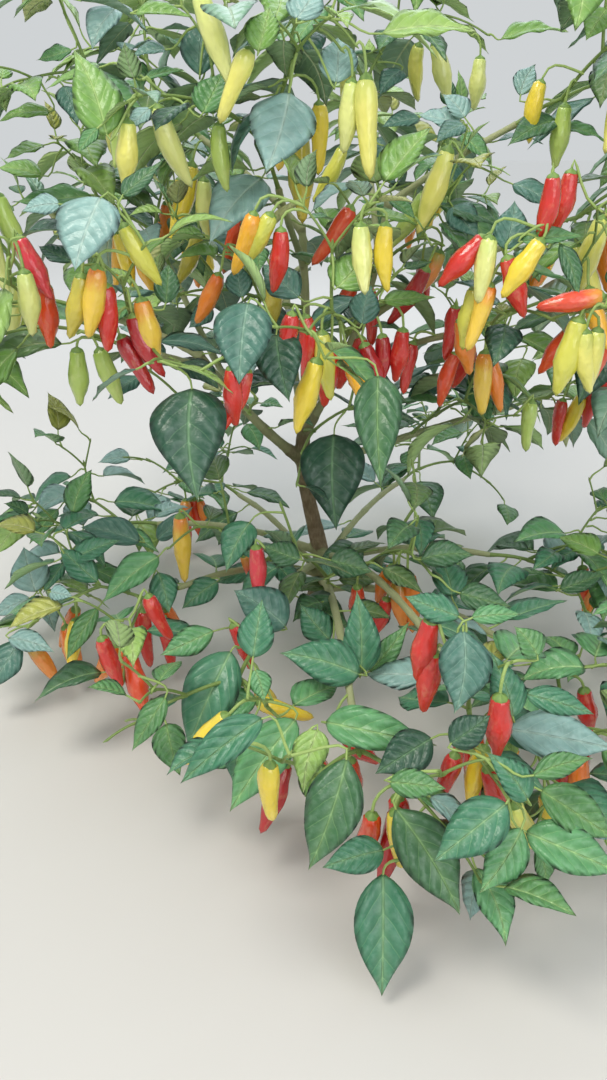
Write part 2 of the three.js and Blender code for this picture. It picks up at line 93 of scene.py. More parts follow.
# The same masses: reach, leaf, fruit and seed, then bough, share and direction of those at a bough's side
massRows = {
    "crown": [
        ("outer_left", 185, 118, 2, 1431), ("front_left", 185, 118, 3, 1265), ("back_left", 185, 118, 2, 1388),
        ("upper_left", 185, 114, 3, 1459), ("upper_front", 185, 114, 3, 1613), ("upper_right", 185, 114, 2, 1928),
        ("top", 185, 114, 2, 1999), ("middle_right", 185, 118, 3, 1961), ("front_right", 180, 118, 3, 2096),
        ("front", 180, 118, 3, 2054), ("outer_back", 185, 118, 2, 210480), ("right_back", 185, 118, 2, 252537),
        ("right", 175, 118, 2, 2371), ("inner_right", 165, 112, 2, 2568, "right", 0.5, (335, 44)),
        ("inner", 165, 112, 3, 2699, "middle", 0.66, (222, 12)),
        ("centre", 165, 112, 3, 295417, "upright", 0.72, (275, 18)),
    ],
    "hanging": [
        ("hanging_left", 150, 120, 1, 280723, "left", 0.6, (258, 14)),
        ("hanging_front", 140, 112, 1, 2903, "middle", 0.12, (290, 18)),
    ],
    "low": [
        ("low_left", 165, 100, 3, 3294), ("low_outer_left", 165, 100, 1, 3276),
        ("low_front_left", 160, 100, 2, 338667), ("low_front", 165, 100, 3, 362539),
        ("low_front_right", 160, 100, 3, 351210), ("low_right_front", 165, 100, 2, 374687),
        ("low_right", 170, 100, 1, 3997), ("low_back_left", 165, 100, 2, 3978), ("low_back_right", 165, 100, 2, 4037),
    ],
    "inner": [
        ("low_inner_left", 160, 90, 1, 417097, "low_left", 0.4, (262, 40)),
        ("low_inner_front", 160, 90, 1, 423024, "low_front", 0.32, (268, 44)),
        ("low_inner_right", 160, 90, 1, 442421, "low_front_right", 0.42, (322, 44)),
    ],
}

# Growth as in the frame, with finer shoots and leaf spots after its own
kinds = {
    "crown": {"droop": (-60, -8), "lift": 0.12, "shoots": (0.42, 0.34), "finer": (0.24,)},
    "hanging": {"droop": (-84, -62), "lift": 0, "shoots": (0.4,), "finer": (0.26,)},
    "low": {"droop": (-40, 2), "lift": 0.1, "shoots": (0.42, 0.34), "finer": (0.24,)},
    "inner": {"droop": (-45, 0), "lift": 0.15, "shoots": (0.45,), "finer": (0.32,)},
}
growth = {
    "twigRadius": 3.2, "twigSink": 5, "stemShare": 0.3, "centreShare": 0.55,
    "forkAngle": 38, "forkSway": 9, "rollSway": 35, "shootVary": (0.85, 1.15),
    "leafSpots": {"stem": (0.72,), "shoot": (0.5, 0.93), "last": (0.32, 0.66, 0.94)},
    "finerSpots": {"stem": (0.42,), "shoot": (0.25, 0.74), "last": (0.16, 0.5, 0.82)},
    "finerLeaf": (0.62, 0.94), "leafTurn": 137.5, "leafSway": 22, "leafVary": (0.84, 1.12), "leafFree": 6,
    "leafHalfWidth": 0.28, "leafWidest": 0.44, "leafFold": 0.2, "retries": (0, 42, -42), "retryShrink": 0.93,
    "fruitSpot": 0.78, "fruitTwigs": 5, "fruitHang": (-86, -66), "fruitVary": (0.82, 1.14),
    "stalkLength": 22, "calyxRise": 6, "stalkFree": 10, "fruitLength": 72, "fruitRadius": 10,
    "drawsPerSeed": 1000, "fruitDraws": 300, "leafDraws": 600, "siblingDraws": 800, "finerLeafDraws": 850,
    "spaceMargin": 1, "groundClearance": 10,
}


def aim(heading, rise):
    flat = math.cos(math.radians(rise))
    turn = math.radians(heading)
    return np.array([flat * math.cos(turn), flat * math.sin(turn), math.sin(math.radians(rise))])


def seeded(seed):
    state = [seed]

    def draw(low, high):
        state[0] = (state[0] * 16807) % 2147483647
        return low + (high - low) * state[0] / 2147483647

    draw(0, 1)
    draw(0, 1)
    return draw


def unit(vector):
    return vector / np.linalg.norm(vector)


# A frame across a direction: one side level, the other as near to upright as it goes
def acrossFrame(direction):
    side = np.cross(direction, upward)
    if np.linalg.norm(side) < 1e-3:
        side = np.array([1.0, 0.0, 0.0])
    side = unit(side)
    return side, np.cross(side, direction)


def turnedAcross(direction, angle):
    side, rise = acrossFrame(direction)
    return side * math.cos(angle) + rise * math.sin(angle)


# A smooth curve through points, as evenly spaced points
def smoothLine(points, steps):
    points = np.array(points, float)
    ends = np.vstack([2 * points[0] - points[1], points, 2 * points[-1] - points[-2]])
    dense = [points[:1]]
    for a, b, c, d in zip(ends, ends[1:], ends[2:], ends[3:]):
        before, here, after = (np.linalg.norm(q - p) ** 0.5 for p, q in ((a, b), (b, c), (c, d)))
        leave = ((b - a) / before - (c - a) / (before + here) + (c - b) / here) * here
        arrive = ((c - b) / here - (d - b) / (here + after) + (d - c) / after) * here
        t = np.linspace(0, 1, 41)[1:, None]
        dense.append((2 * t**3 - 3 * t**2 + 1) * b + (t**3 - 2 * t**2 + t) * leave
                     + (3 * t**2 - 2 * t**3) * c + (t**3 - t**2) * arrive)
    dense = np.vstack(dense)
    run = np.concatenate([[0], np.cumsum(np.linalg.norm(np.diff(dense, axis=0), axis=1))])
    even = np.linspace(0, run[-1], steps + 1)
    return np.stack([np.interp(even, run, dense[:, k]) for k in range(3)], axis=1)


def pointOn(points, share):
    x = share * (len(points) - 1)
    i = min(int(x), len(points) - 2)
    return points[i] + (points[i + 1] - points[i]) * (x - i)


def boughLine(heading, rise, bend, length, start):
    points = [start]
    for i in range(limbSteps):
        step = aim(heading, rise + bend * (i + 0.5) / limbSteps) * length / limbSteps
        points.append(points[-1] + step)
    return np.array(points)


# What growth keeps clear of: edges and faces, with the ball round them
def itemFrom(edges, faces):
    spots = edges.reshape(-1, 3)
    middle = spots.mean(axis=0)
    return {"edges": edges, "faces": faces, "middle": middle,
            "span": np.linalg.norm(spots - middle, axis=1).max()}


def stripAround(start, end, halfWidth):
    edges, faces = [], []
    for across in acrossFrame(unit(end - start)):
        a, b, c, d = (start + across * halfWidth, start - across * halfWidth,
                      end - across * halfWidth, end + across * halfWidth)
        faces += [(a, b, c), (a, c, d)]
        edges += [(a, b), (b, c), (c, d), (d, a)]
    return itemFrom(np.array(edges), np.array(faces))


def pierces(edges, faces):
    if not len(edges) or not len(faces):
        return False
    start = edges[:, None, 0]
    ray = edges[:, None, 1] - start
    corner = faces[None, :, 0]
    first = faces[None, :, 1] - corner
    second = faces[None, :, 2] - corner
    across = np.cross(ray, second)
    det = (first * across).sum(-1)
    safe = np.where(np.abs(det) < 1e-9, 1.0, det)
    offset = start - corner
    turned = np.cross(offset, first)
    u = (offset * across).sum(-1) / safe
    v = (ray * turned).sum(-1) / safe
    t = (second * turned).sum(-1) / safe
    hit = (np.abs(det) >= 1e-9) & (u >= 0) & (v >= 0) & (u + v <= 1) & (t >= 0) & (t <= 1)
    return bool(hit.any())


def meets(item, others):
    for other in others:
        reach = item["span"] + other["span"]
        if ((item["middle"] - other["middle"]) ** 2).sum() > reach * reach:
            continue
        if pierces(item["edges"], other["faces"]) or pierces(other["edges"], item["faces"]):
            return True
    return False


# Limbs, as the frame places them
def placeLimbs():
    trunkPoints = smoothLine(trunkLine, trunk["steps"])
    limbs = {"trunk": {"points": trunkPoints, "base": trunk["base"], "tip": trunk["tip"]}}
    items = [stripAround(a, b, trunk["base"] + trunkKeepClear) for a, b in zip(trunkPoints, trunkPoints[1:])]
    for name, parent, at, (heading, rise, bend), (length, base, tip) in limbRows:
        points = limbs[parent]["points"]
        start = pointOn(points, at)
        if at == 1:
            start = start - unit(points[-1] - points[-2]) * tipSink
        line = boughLine(heading, rise, bend, length, start)
        limbs[name] = {"points": line, "base": base, "tip": tip}
        for i in range(limbSteps):
            radius = base + (tip - base) * i / limbSteps
            items.append(stripAround(line[i], line[i + 1], radius + keepClear))
    return limbs, items


def placeMasses(limbs):
    masses = []
    for kind, rows in massRows.items():
        for name, reach, leaf, fruit, seed, *side in rows:
            on, at, turn = side or (name, 1, None)
            points = limbs[on]["points"]
            direction = aim(*turn) if side else unit(points[-1] - points[-2])
            start = pointOn(points, at) - direction * (0 if side else tipSink)
            masses.append({
                "name": name, "reach": reach, "leaf": leaf, "fruit": fruit, "kind": kind, "seed": seed,
                "direction": direction, "start": start, "centre": start + direction * reach * growth["centreShare"],
                "stemItem": stripAround(start, start + direction * reach * growth["stemShare"],
                                        growth["twigRadius"] + keepClear),
            })
    centres = np.array([mass["centre"] for mass in masses])
    for i, mass in enumerate(masses):
        mass["others"] = np.delete(centres, i, axis=0)
    return masses


# A mass keeps inside its ball and on its own side of the planes between it and its neighbours
def insideSpace(mass, spots):
    spots = np.reshape(spots, (-1, 3))
    if spots[:, 2].min() < growth["groundClearance"]:
        return False
    own = ((spots - mass["centre"]) ** 2).sum(-1)
    if own.max() > mass["reach"] ** 2:
        return False
    other = ((spots[:, None] - mass["others"][None]) ** 2).sum(-1)
    apart = np.linalg.norm(mass["others"] - mass["centre"], axis=1)
    return bool((((other - own[:, None]) / (2 * apart)) > growth["spaceMargin"]).all())


def drawFor(seed, offset):
    return seeded(seed * growth["drawsPerSeed"] + offset)


def makeTwig(start, direction, length, depth, number):
    end = start + direction * length
    return {**itemFrom(np.array([[start, end]]), np.zeros((0, 3, 3))), "start": start, "direction": direction,
            "length": length, "depth": depth, "number": number, "end": end}


def numbersBeyond(twig):
    return {twig["number"] * 2, twig["number"] * 2 + 1}


def otherThan(twig, twigs):
    return [one for one in twigs if one is not twig]


# Two shoots leave a node on opposite sides, turned a quarter from the pair before
def shootsFrom(mass, twig, draw, shares):
    roll = math.radians(draw(-growth["rollSway"], growth["rollSway"]) + twig["depth"] * 90)
    across = turnedAcross(twig["direction"], roll)
    found = []
    for i, hand in enumerate((-1, 1)):
        angle = math.radians(growth["forkAngle"] + draw(-growth["forkSway"], growth["forkSway"]))
        length = mass["reach"] * shares[twig["depth"]] * draw(*growth["shootVary"])
        direction = twig["direction"] * math.cos(angle) + across * hand * math.sin(angle)
        direction = unit(direction + upward * kinds[mass["kind"]]["lift"])
        start = twig["end"] - twig["direction"] * growth["twigSink"]
        found.append(makeTwig(start, direction, length, twig["depth"] + 1, twig["number"] * 2 + i))
    return found


def growTwigs(mass, twigs, shares, obstacles):
    for twig in twigs:
        if twig["depth"] >= len(shares) or twig.get("forked"):
            continue
        twig["forked"] = True
        draw = drawFor(mass["seed"], twig["number"])
        for shoot in shootsFrom(mass, twig, draw, shares):
            if not meets(shoot, obstacles) and insideSpace(mass, shoot["end"]):
                twigs.append(shoot)
    return twigs


# Up to three more fruit hang beside each of the frame's
siblings = {"most": 3, "share": 0.8, "turn": (75, 150), "back": (4, 14), "hang": (-88, -58), "size": (0.72, 1.05),
            "girth": 6}


# A fruit has a stout stand-in, and a thin one for the bunch that it hangs in
def hangFruit(twig, root, direction, length):
    tip = root + direction * (growth["stalkLength"] + growth["calyxRise"] + length)
    return {"twig": twig, "root": root, "direction": direction, "length": length, "tip": tip,
            "item": stripAround(root + direction * growth["stalkFree"], tip, growth["fruitRadius"]),
            "thin": stripAround(root + direction * growth["stalkLength"], tip, siblings["girth"])}


def growFruit(mass, twigs, obstacles):
    fruits = []
    for twig in twigs:
        draw = drawFor(mass["seed"], growth["fruitDraws"] + twig["number"])
        wanted = draw(0, 1) < mass["fruit"] / growth["fruitTwigs"]
        direction = aim(draw(0, 360), draw(*growth["fruitHang"]))
        length = growth["fruitLength"] * draw(*growth["fruitVary"])
        root = twig["start"] + twig["direction"] * twig["length"] * growth["fruitSpot"]
        fruit = hangFruit(twig, root, direction, length)
        near = obstacles + otherThan(twig, twigs) + [one["item"] for one in fruits]
        if wanted and not meets(fruit["item"], near) and insideSpace(mass, fruit["item"]["edges"]):
            fruits.append(fruit)
    return fruits


def growSiblings(mass, twigs, fruits, obstacles):
    draw = drawFor(mass["seed"], growth["siblingDraws"])
    for first in list(fruits):
        twig = first["twig"]
        turn = math.degrees(math.atan2(first["direction"][1], first["direction"][0]))
        for i in range(siblings["most"]):
            turn += draw(*siblings["turn"])
            direction = aim(turn, draw(*siblings["hang"]))
            root = first["root"] - twig["direction"] * draw(*siblings["back"]) * (i + 1)
            fruit = hangFruit(twig, root, direction, growth["fruitLength"] * draw(*siblings["size"]))
            fruit["item"] = fruit["thin"]
            wanted = draw(0, 1) < siblings["share"]
            near = obstacles + otherThan(twig, twigs) + [one["thin"] for one in fruits]
            if wanted and not meets(fruit["item"], near) and fruit["tip"][2] > growth["groundClearance"]:
                fruits.append(fruit)
    return fruits


# The two flat triangles that stand in for a leaf
def kiteItem(base, left, tip, right):
    edges = [(base, left), (left, tip), (tip, right), (right, base), (base, tip)]
    return itemFrom(np.array(edges), np.array([(base, left, tip), (base, tip, right)]))


def makeLeaf(mass, twig, root, direction, roll, length, **more):
    level = turnedAcross(direction, roll)
    half = growth["leafHalfWidth"] * length
    fold = np.cross(level, direction) * growth["leafFold"] * half
    widest = root + direction * growth["leafWidest"] * length
    tip = root + direction * length
    item = kiteItem(root + direction * growth["leafFree"], widest - level * half + fold, tip,
                    widest + level * half + fold)
    return {"mass": mass, "twig": twig, "root": root, "direction": direction, "roll": roll, "length": length,
            "tip": tip, "item": item, "finer": True, **more}


def growLeaves(mass, twigs, leaves, obstacles, finer):
    rule = kinds[mass["kind"]]
    forks = len(rule["shoots"])
    for twig in twigs:
        draw = drawFor(mass["seed"], growth["finerLeafDraws" if finer else "leafDraws"] + twig["number"])
        first = draw(0, 360)
        near = obstacles + otherThan(twig, twigs)
        table = growth["finerSpots" if finer and twig["depth"] <= forks else "leafSpots"]
        place = "stem" if twig["depth"] == 0 else "shoot" if twig["depth"] < forks else "last"
        for i, spot in enumerate(table[place]):
            turn = first + growth["leafTurn"] * i + draw(-growth["leafSway"], growth["leafSway"])
            rise = draw(*rule["droop"])
            length = mass["leaf"] * draw(*growth["leafVary"])
            roll = math.radians(draw(-growth["leafSway"], growth["leafSway"]))
            if finer:
                length *= draw(*growth["finerLeaf"])
            root = twig["start"] + twig["direction"] * twig["length"] * spot
            for attempt, aside in enumerate(growth["retries"]):
                leaf = makeLeaf(mass, twig, root, aim(turn + aside, rise), roll,
                                length * growth["retryShrink"] ** attempt, finer=finer)
                if meets(leaf["item"], near) or meets(leaf["item"], [one["item"] for one in leaves]):
                    continue
                if insideSpace(mass, leaf["item"]["edges"]):
                    leaves.append(leaf)
                    break
    return leaves


def growMass(mass, masses, limbItems):
    rule = kinds[mass["kind"]]
    obstacles = limbItems + [other["stemItem"] for other in masses if other is not mass]
    stem = makeTwig(mass["start"], mass["direction"], mass["reach"] * growth["stemShare"], 0, 1)
    twigs = growTwigs(mass, [stem], rule["shoots"], obstacles)
    fruits = growSiblings(mass, twigs, growFruit(mass, twigs, obstacles), obstacles)
    obstacles = obstacles + [fruit["item"] for fruit in fruits]
    leaves = growLeaves(mass, twigs, [], obstacles, False)
    for twig in twigs:
        twig["forked"] = twig["depth"] < len(rule["shoots"])
    blocked = obstacles + [leaf["item"] for leaf in leaves]
    twigs = growTwigs(mass, twigs, rule["shoots"] + rule["finer"], blocked)
    leaves = growLeaves(mass, twigs, leaves, obstacles, True)
    return {"mass": mass, "twigs": twigs, "fruits": fruits, "leaves": leaves}


# Leaves straight on the boughs, alternating round them, so that no limb is a bare wire: from, to and gap
boughLeaf = {"low": (0.2, 0.97, 40), "crown": (0.34, 0.97, 34), "length": (58, 102), "rise": (-35, 18), "turn": 137.5,
             "sway": 20, "seed": 52, "shareOff": 9, "tries": 5, "along": 0.05}


def growBoughLeaves(limbs, masses, taken):
    leaves = []
    for number, (name, *_, (length, _, _)) in enumerate(limbRows):
        kind = "low" if name.startswith("low") else "crown"
        low, high, gap = boughLeaf[kind]
        draw = drawFor(boughLeaf["seed"], number)
        points = limbs[name]["points"]
        turn = draw(0, 360)
        reach = low * length
        while reach < high * length:
            share = reach / length
            root = pointOn(points, share)
            along = pointOn(points, min(share + boughLeaf["along"], 1)) - pointOn(points, share - boughLeaf["along"])
            for _ in range(boughLeaf["tries"]):
                turn += boughLeaf["turn"] + draw(-boughLeaf["sway"], boughLeaf["sway"])
                leaf = makeLeaf(nearestMass(masses, root, kind), {"direction": unit(along), "depth": 0}, root,
                                aim(turn, draw(*boughLeaf["rise"])),
                                math.radians(draw(-boughLeaf["sway"], boughLeaf["sway"])), draw(*boughLeaf["length"]))
                clearOf = [one["item"] for one in leaves] + taken
                if leaf["tip"][2] > growth["groundClearance"] and not meets(leaf["item"], clearOf):
                    leaves.append(leaf)
                    break
            reach += gap + draw(-boughLeaf["shareOff"], boughLeaf["shareOff"])
    return leaves


def nearestMass(masses, spot, kind):
    fitting = [mass for mass in masses if (mass["kind"] in ("low", "inner")) == (kind == "low")]
    return min(fitting, key=lambda mass: np.linalg.norm(mass["centre"] - spot))


# A shoot with no shoots beyond it ends in a tuft of young leaves
tuft = {"crown": 3, "hanging": 2, "low": 2, "inner": 1, "spread": (30, 68), "length": (38, 78), "seed": 88,
        "sway": 25, "sag": 0.15}


def growTufts(grown):
    leaves = []
    for place, g in enumerate(grown):
        numbers = {twig["number"] for twig in g["twigs"]}
        for twig in g["twigs"]:
            if numbersBeyond(twig) & numbers:
                continue
            draw = drawFor(tuft["seed"] + place, twig["number"])
            turn = draw(0, 360)
            for i in range(tuft[g["mass"]["kind"]]):
                out = turnedAcross(twig["direction"], math.radians(turn + growth["leafTurn"] * i))
                spread = math.radians(draw(*tuft["spread"]))
                way = unit(twig["direction"] * math.cos(spread) + out * math.sin(spread) - upward * tuft["sag"])
                leaves.append(makeLeaf(g["mass"], twig, twig["end"], way,
                                       math.radians(draw(-tuft["sway"], tuft["sway"])), draw(*tuft["length"]),
                                       bud=True))
    return leaves


# Where the camera stands, in millimetres, and how a spot in its picture of 607 by 1080 is found
eye = {"place": np.array([-15.8, -1045.5, 620.0]), "tilt": 64, "focal": 881, "middle": (303.5, 540)}
eye["ahead"] = np.array([0, math.sin(math.radians(eye["tilt"])), -math.cos(math.radians(eye["tilt"]))])
eye["over"] = np.array([0, math.cos(math.radians(eye["tilt"])), math.sin(math.radians(eye["tilt"]))])
eye["right"] = np.array([1.0, 0.0, 0.0])


def seenAt(spots):
    away = np.atleast_2d(spots) - eye["place"]
    depth = away @ eye["ahead"]
    x = eye["middle"][0] + eye["focal"] * (away @ eye["right"]) / depth
    y = eye["middle"][1] - eye["focal"] * (away @ eye["over"]) / depth
    return np.stack([x, y, depth], axis=1)


def sightTo(x, y):
    across = (x - eye["middle"][0]) / eye["focal"]
    down = (y - eye["middle"][1]) / eye["focal"]
    return unit(eye["ahead"] + eye["right"] * across - eye["over"] * down)


# Fruit that the camera sees: the cup's place, the tip's place, its ripeness
seenPods = [
    (199, -6, 231, 70, "cream"), (250, 50, 211, 109, "paleYellow"), (128, 122, 123, 163, "paleYellow"),
    (158, 108, 173, 180, "cream"), (192, 165, 172, 232, "yellow"), (204, 180, 198, 234, "cream"),
    (219, 125, 214, 182, "green"), (300, 132, 302, 212, "olive"), (124, 226, 150, 281, "yellowGreen"),
    (198, 234, 182, 284, "olive"), (246, 208, 213, 264, "scarlet"), (254, 214, 242, 247, "amber"),
    (271, 215, 245, 260, "yellowGreen"), (281, 230, 281, 275, "red"), (219, 275, 203, 307, "orange"),
    (272, 276, 279, 326, "olive"), (-2, 196, 14, 268, "green"), (19, 238, 39, 289, "pinkRed"),
    (24, 272, 27, 308, "cream"), (45, 286, 44, 309, "scarlet"), (82, 276, 71, 326, "olive"),
    (97, 268, 85, 334, "orangeShoulder"), (106, 286, 105, 341, "red"), (133, 316, 139, 344, "deepRed"),
    (141, 300, 151, 350, "orangeShoulder"), (121, 337, 141, 375, "deepRed"), (77, 350, 75, 378, "green"),
    (99, 350, 109, 382, "green"), (352, 82, 350, 122, "cream"), (366, 78, 368, 165, "paleYellow"),
    (319, 104, 324, 165, "yellow"), (343, 148, 322, 199, "yellowGreen"), (351, 208, 318, 263, "scarlet"),
    (361, 225, 363, 264, "cream"), (386, 225, 379, 266, "yellow"), (448, 150, 428, 225, "paleYellow"),
    (425, 194, 398, 249, "green"), (440, 252, 427, 290, "greenOrange"), (484, 238, 464, 258, "red"),
    (490, 238, 486, 270, "cream"), (541, 241, 518, 274, "yellow"), (507, 258, 515, 277, "red"),
    (541, 82, 528, 118, "yellow"), (565, 106, 562, 160, "green"), (553, 176, 555, 199, "red"),
    (571, 172, 569, 195, "red"), (480, 58, 479, 84, "cream"), (603, 219, 582, 292, "paleYellow"),
    (602, 296, 545, 307, "redYellow"), (579, 320, 566, 393, "yellowGreen"), (586, 332, 586, 377, "paleYellow"),
    (598, 330, 595, 374, "paleYellow"), (563, 400, 556, 443, "red"), (532, 402, 527, 434, "green"),
    (455, 307, 451, 352, "red"), (475, 289, 467, 342, "yellowGreen"), (490, 285, 474, 346, "orangeShoulder"),
    (461, 320, 473, 368, "orange"), (382, 336, 391, 383, "deepRed"), (413, 343, 403, 389, "red"),
    (403, 330, 399, 378, "red"), (364, 345, 377, 372, "deepRed"), (292, 314, 287, 342, "red"),
    (305, 317, 315, 353, "red"), (317, 361, 294, 428, "yellow"), (322, 333, 327, 393, "yellowGreen"),
    (232, 368, 231, 404, "red"), (246, 370, 240, 393, "red"), (180, 516, 182, 578, "orangeShoulder"),
    (256, 547, 259, 577, "pinkRed"), (142, 610, 139, 677, "red"), (148, 596, 160, 639, "red"),
    (102, 638, 113, 694, "red"), (30, 644, 51, 681, "greenOrange"), (233, 625, 249, 651, "red"),
    (227, 716, 200, 745, "yellow"), (258, 701, 290, 716, "yellow"), (270, 764, 265, 806, "yellow"),
    (341, 728, 352, 744, "red"), (350, 760, 357, 801, "scarlet"), (372, 815, 372, 872, "scarlet"),
    (396, 812, 401, 848, "yellow"), (387, 599, 382, 626, "red"), (431, 620, 427, 646, "red"),
    (435, 653, 428, 690, "red"), (500, 697, 503, 748, "red"), (455, 755, 448, 789, "red"),
    (485, 748, 474, 780, "yellow"), (488, 768, 501, 798, "red"), (514, 804, 528, 848, "paleYellow"),
    (546, 795, 553, 816, "yellow"), (584, 690, 590, 712, "red"),
]

# Leaves that the camera sees plainly: base, tip, width, tone
seenLeaves = [
    (192, 388, 200, 503, 76, "deep"), (334, 434, 336, 532, 64, "deep"), (378, 375, 380, 490, 48, "mid"),
    (248, 302, 240, 387, 58, "slate"), (276, 334, 290, 405, 48, "deep"), (337, 288, 370, 244, 50, "bright"),
    (383, 301, 437, 296, 22, "bright"), (362, 325, 372, 284, 50, "slate"), (299, 298, 262, 262, 40, "slate"),
    (289, 92, 266, 178, 82, "sheen"), (262, 178, 209, 251, 60, "sheen"), (101, 197, 77, 276, 72, "sheen"),
    (107, 136, 70, 42, 50, "bright"), (203, 114, 222, 70, 46, "fresh"), (200, 76, 207, 12, 40, "slate"),
    (135, 14, 194, 22, 26, "bright"), (116, 8, 93, 56, 38, "sheen"), (72, 50, 37, 63, 24, "fresh"),
    (50, 112, -4, 128, 24, "bright"), (92, 196, 14, 206, 30, "fresh"), (42, 176, -6, 166, 26, "bright"),
    (150, 108, 128, 132, 26, "sheen"), (336, 84, 338, 34, 46, "sheen"), (381, 34, 478, 26, 44, "young"),
    (500, 40, 572, 28, 26, "bright"), (461, 122, 416, 112, 32, "sheen"), (464, 124, 434, 146, 26, "slate"),
    (465, 118, 442, 92, 30, "sheen"), (556, 120, 505, 150, 32, "mid"), (440, 206, 503, 232, 30, "mid"),
    (505, 250, 516, 198, 36, "slate"), (512, 184, 556, 216, 34, "slate"), (521, 242, 586, 234, 22, "fresh"),
    (560, 243, 576, 301, 16, "mid"), (452, 206, 478, 240, 40, "slate"), (296, 20, 318, -20, 44, "sheen"),
    (166, 697, 133, 750, 28, "fresh"), (231, 651, 188, 750, 56, "low"), (253, 658, 262, 599, 38, "low"),
    (286, 627, 232, 590, 46, "slate"), (214, 631, 160, 655, 30, "lowBright"), (218, 581, 182, 609, 28, "low"),
    (360, 675, 278, 654, 48, "low"), (361, 674, 357, 590, 38, "low"), (369, 672, 411, 621, 24, "fresh"),
    (325, 722, 437, 743, 40, "lowBright"), (318, 729, 303, 792, 36, "young"), (296, 719, 230, 809, 48, "lowBright"),
    (263, 718, 181, 781, 38, "low"), (256, 697, 202, 721, 32, "lowBright"), (255, 669, 264, 701, 24, "lowBright"),
    (347, 758, 308, 866, 58, "mid"), (384, 850, 321, 865, 36, "low"), (383, 873, 381, 993, 60, "low"),
    (395, 808, 458, 910, 58, "mid"), (389, 782, 446, 787, 30, "fresh"), (432, 738, 374, 772, 44, "deep"),
    (507, 803, 430, 859, 52, "low"), (522, 828, 477, 890, 42, "lowBright"), (525, 832, 618, 869, 48, "lowBright"),
    (540, 790, 612, 836, 44, "fresh"), (528, 800, 486, 752, 34, "low"), (532, 776, 596, 760, 26, "fresh"),
    (508, 729, 612, 746, 48, "sheen"), (525, 694, 592, 713, 28, "low"), (463, 630, 452, 713, 54, "slate"),
    (513, 718, 490, 650, 38, "low"), (460, 617, 404, 596, 32, "low"), (471, 618, 523, 615, 22, "lowBright"),
    (538, 657, 514, 626, 36, "fresh"), (459, 593, 511, 607, 30, "mid"), (450, 744, 492, 716, 34, "deep"),
    (330, 640, 300, 604, 34, "low"), (36, 592, 22, 546, 44, "sheen"), (72, 560, 120, 540, 26, "low"),
    (20, 640, -10, 690, 34, "slate"), (330, 560, 372, 572, 40, "mid"),
    (300, 560, 262, 545, 40, "mid"), (420, 560, 476, 556, 30, "mid"), (560, 590, 606, 574, 24, "mid"),
    (607, 8, 584, 44, 32, "bright"), (520, 96, 537, 62, 24, "sheen"), (420, 118, 380, 130, 26, "slate"),
    (462, 134, 490, 166, 24, "fresh"), (402, 70, 378, 100, 26, "slate"), (560, 128, 606, 146, 22, "fresh"),
    (60, 204, 22, 214, 28, "sheen"), (72, 262, 36, 244, 24, "deep"), (98, 128, 78, 156, 20, "fresh"),
    (122, 196, 162, 158, 26, "mid"), (258, 52, 270, 4, 36, "bright"), (166, 50, 130, 62, 24, "slate"),
    (143, 80, 184, 68, 14, "fresh"), (166, 304, 168, 262, 26, "mid"), (212, 306, 188, 330, 26, "slate"),
    (242, 298, 238, 262, 44, "slate"), (98, 582, 57, 546, 28, "low"), (159, 556, 103, 604, 34, "lowBright"),
    (140, 542, 78, 527, 30, "slate"), (157, 540, 193, 506, 20, "slate"), (158, 572, 170, 614, 28, "low"),
    (250, 522, 226, 574, 36, "low"), (8, 638, 57, 652, 24, "sheen"), (98, 608, 68, 660, 16, "fresh"),
    (50, 592, 74, 596, 18, "sheen"), (30, 598, -6, 616, 22, "sheen"),
]
# Hang is the least height of what carries it, and the wanted gap. Covered and spots are shares of a leaf's length
# and of its width
placing = {
    "podReach": 46, "leafReach": 52, "podHang": (6, 26), "leafHang": (-8, 30), "farther": 0.1, "below": 14,
    "lowest": 60, "lowCost": 60, "steepFrom": 26, "steep": 0.8, "twigShares": np.linspace(0.2, 1, 6),
    "boughShares": np.linspace(0.25, 0.98, 16), "shootEnd": 16, "podLength": (58, 90), "girth": 8,
    "forward": 48, "front": -590, "crossed": 4, "spare": 6, "podSpare": 8, "hidden": 4, "bears": 5,
    "leanBack": 0.12, "leanAhead": -0.1, "tipSpare": 8, "toSky": 0.55, "toCamera": 0.75, "lowTop": 230, "seed": 44,
    "covered": (0.06, 0.94, 0.42),
    "spots": ((0.12, 0.2), (0.25, 0.34), (0.4, 0.38), (0.55, 0.32), (0.7, 0.22), (0.85, 0.1)),
}


# Places along every twig and bough that can carry a stalk
def findCarriers(limbs, grown):
    spots = [twig["start"] + twig["direction"] * twig["length"] * share
             for g in grown for twig in g["twigs"] for share in placing["twigShares"]]
    return np.array(spots + [pointOn(limb["points"], share) for name, limb in limbs.items() if name != "trunk"
                             for share in placing["boughShares"]])


# The carrier nearest to a line of sight, preferring those in front and a little above it
def carrierFor(x, y, carriers, above, wanted):
    ray = sightTo(x, y)
    away = carriers - eye["place"]
    run = away @ ray
    foot = eye["place"] + run[:, None] * ray
    gap = np.linalg.norm(carriers - foot, axis=1)
    cost = np.abs(gap - wanted) + placing["farther"] * (run - run.min())
    cost = cost + np.where(carriers[:, 2] < foot[:, 2] + above, placing["below"], 0)
    cost = cost + np.where(foot[:, 2] < placing["lowest"], placing["lowCost"], 0)
    cost = cost + np.maximum(foot[:, 2] - carriers[:, 2] - placing["steepFrom"], 0) * placing["steep"]
    best = int(np.argmin(cost))
    return carriers[best], foot[best], gap[best]


# Which spots the outline of a seen leaf covers in the picture
def coveredBy(row, spots):
    x, y, tipX, tipY, width = row
    low, high, across = placing["covered"]
    line = np.array([tipX - x, tipY - y])
    away = spots[:, :2] - (x, y)
    along = away @ line / (line @ line)
    off = np.abs(away @ np.array([-line[1], line[0]])) / np.linalg.norm(line)
    return (along > low) & (along < high) & (off < width * across)


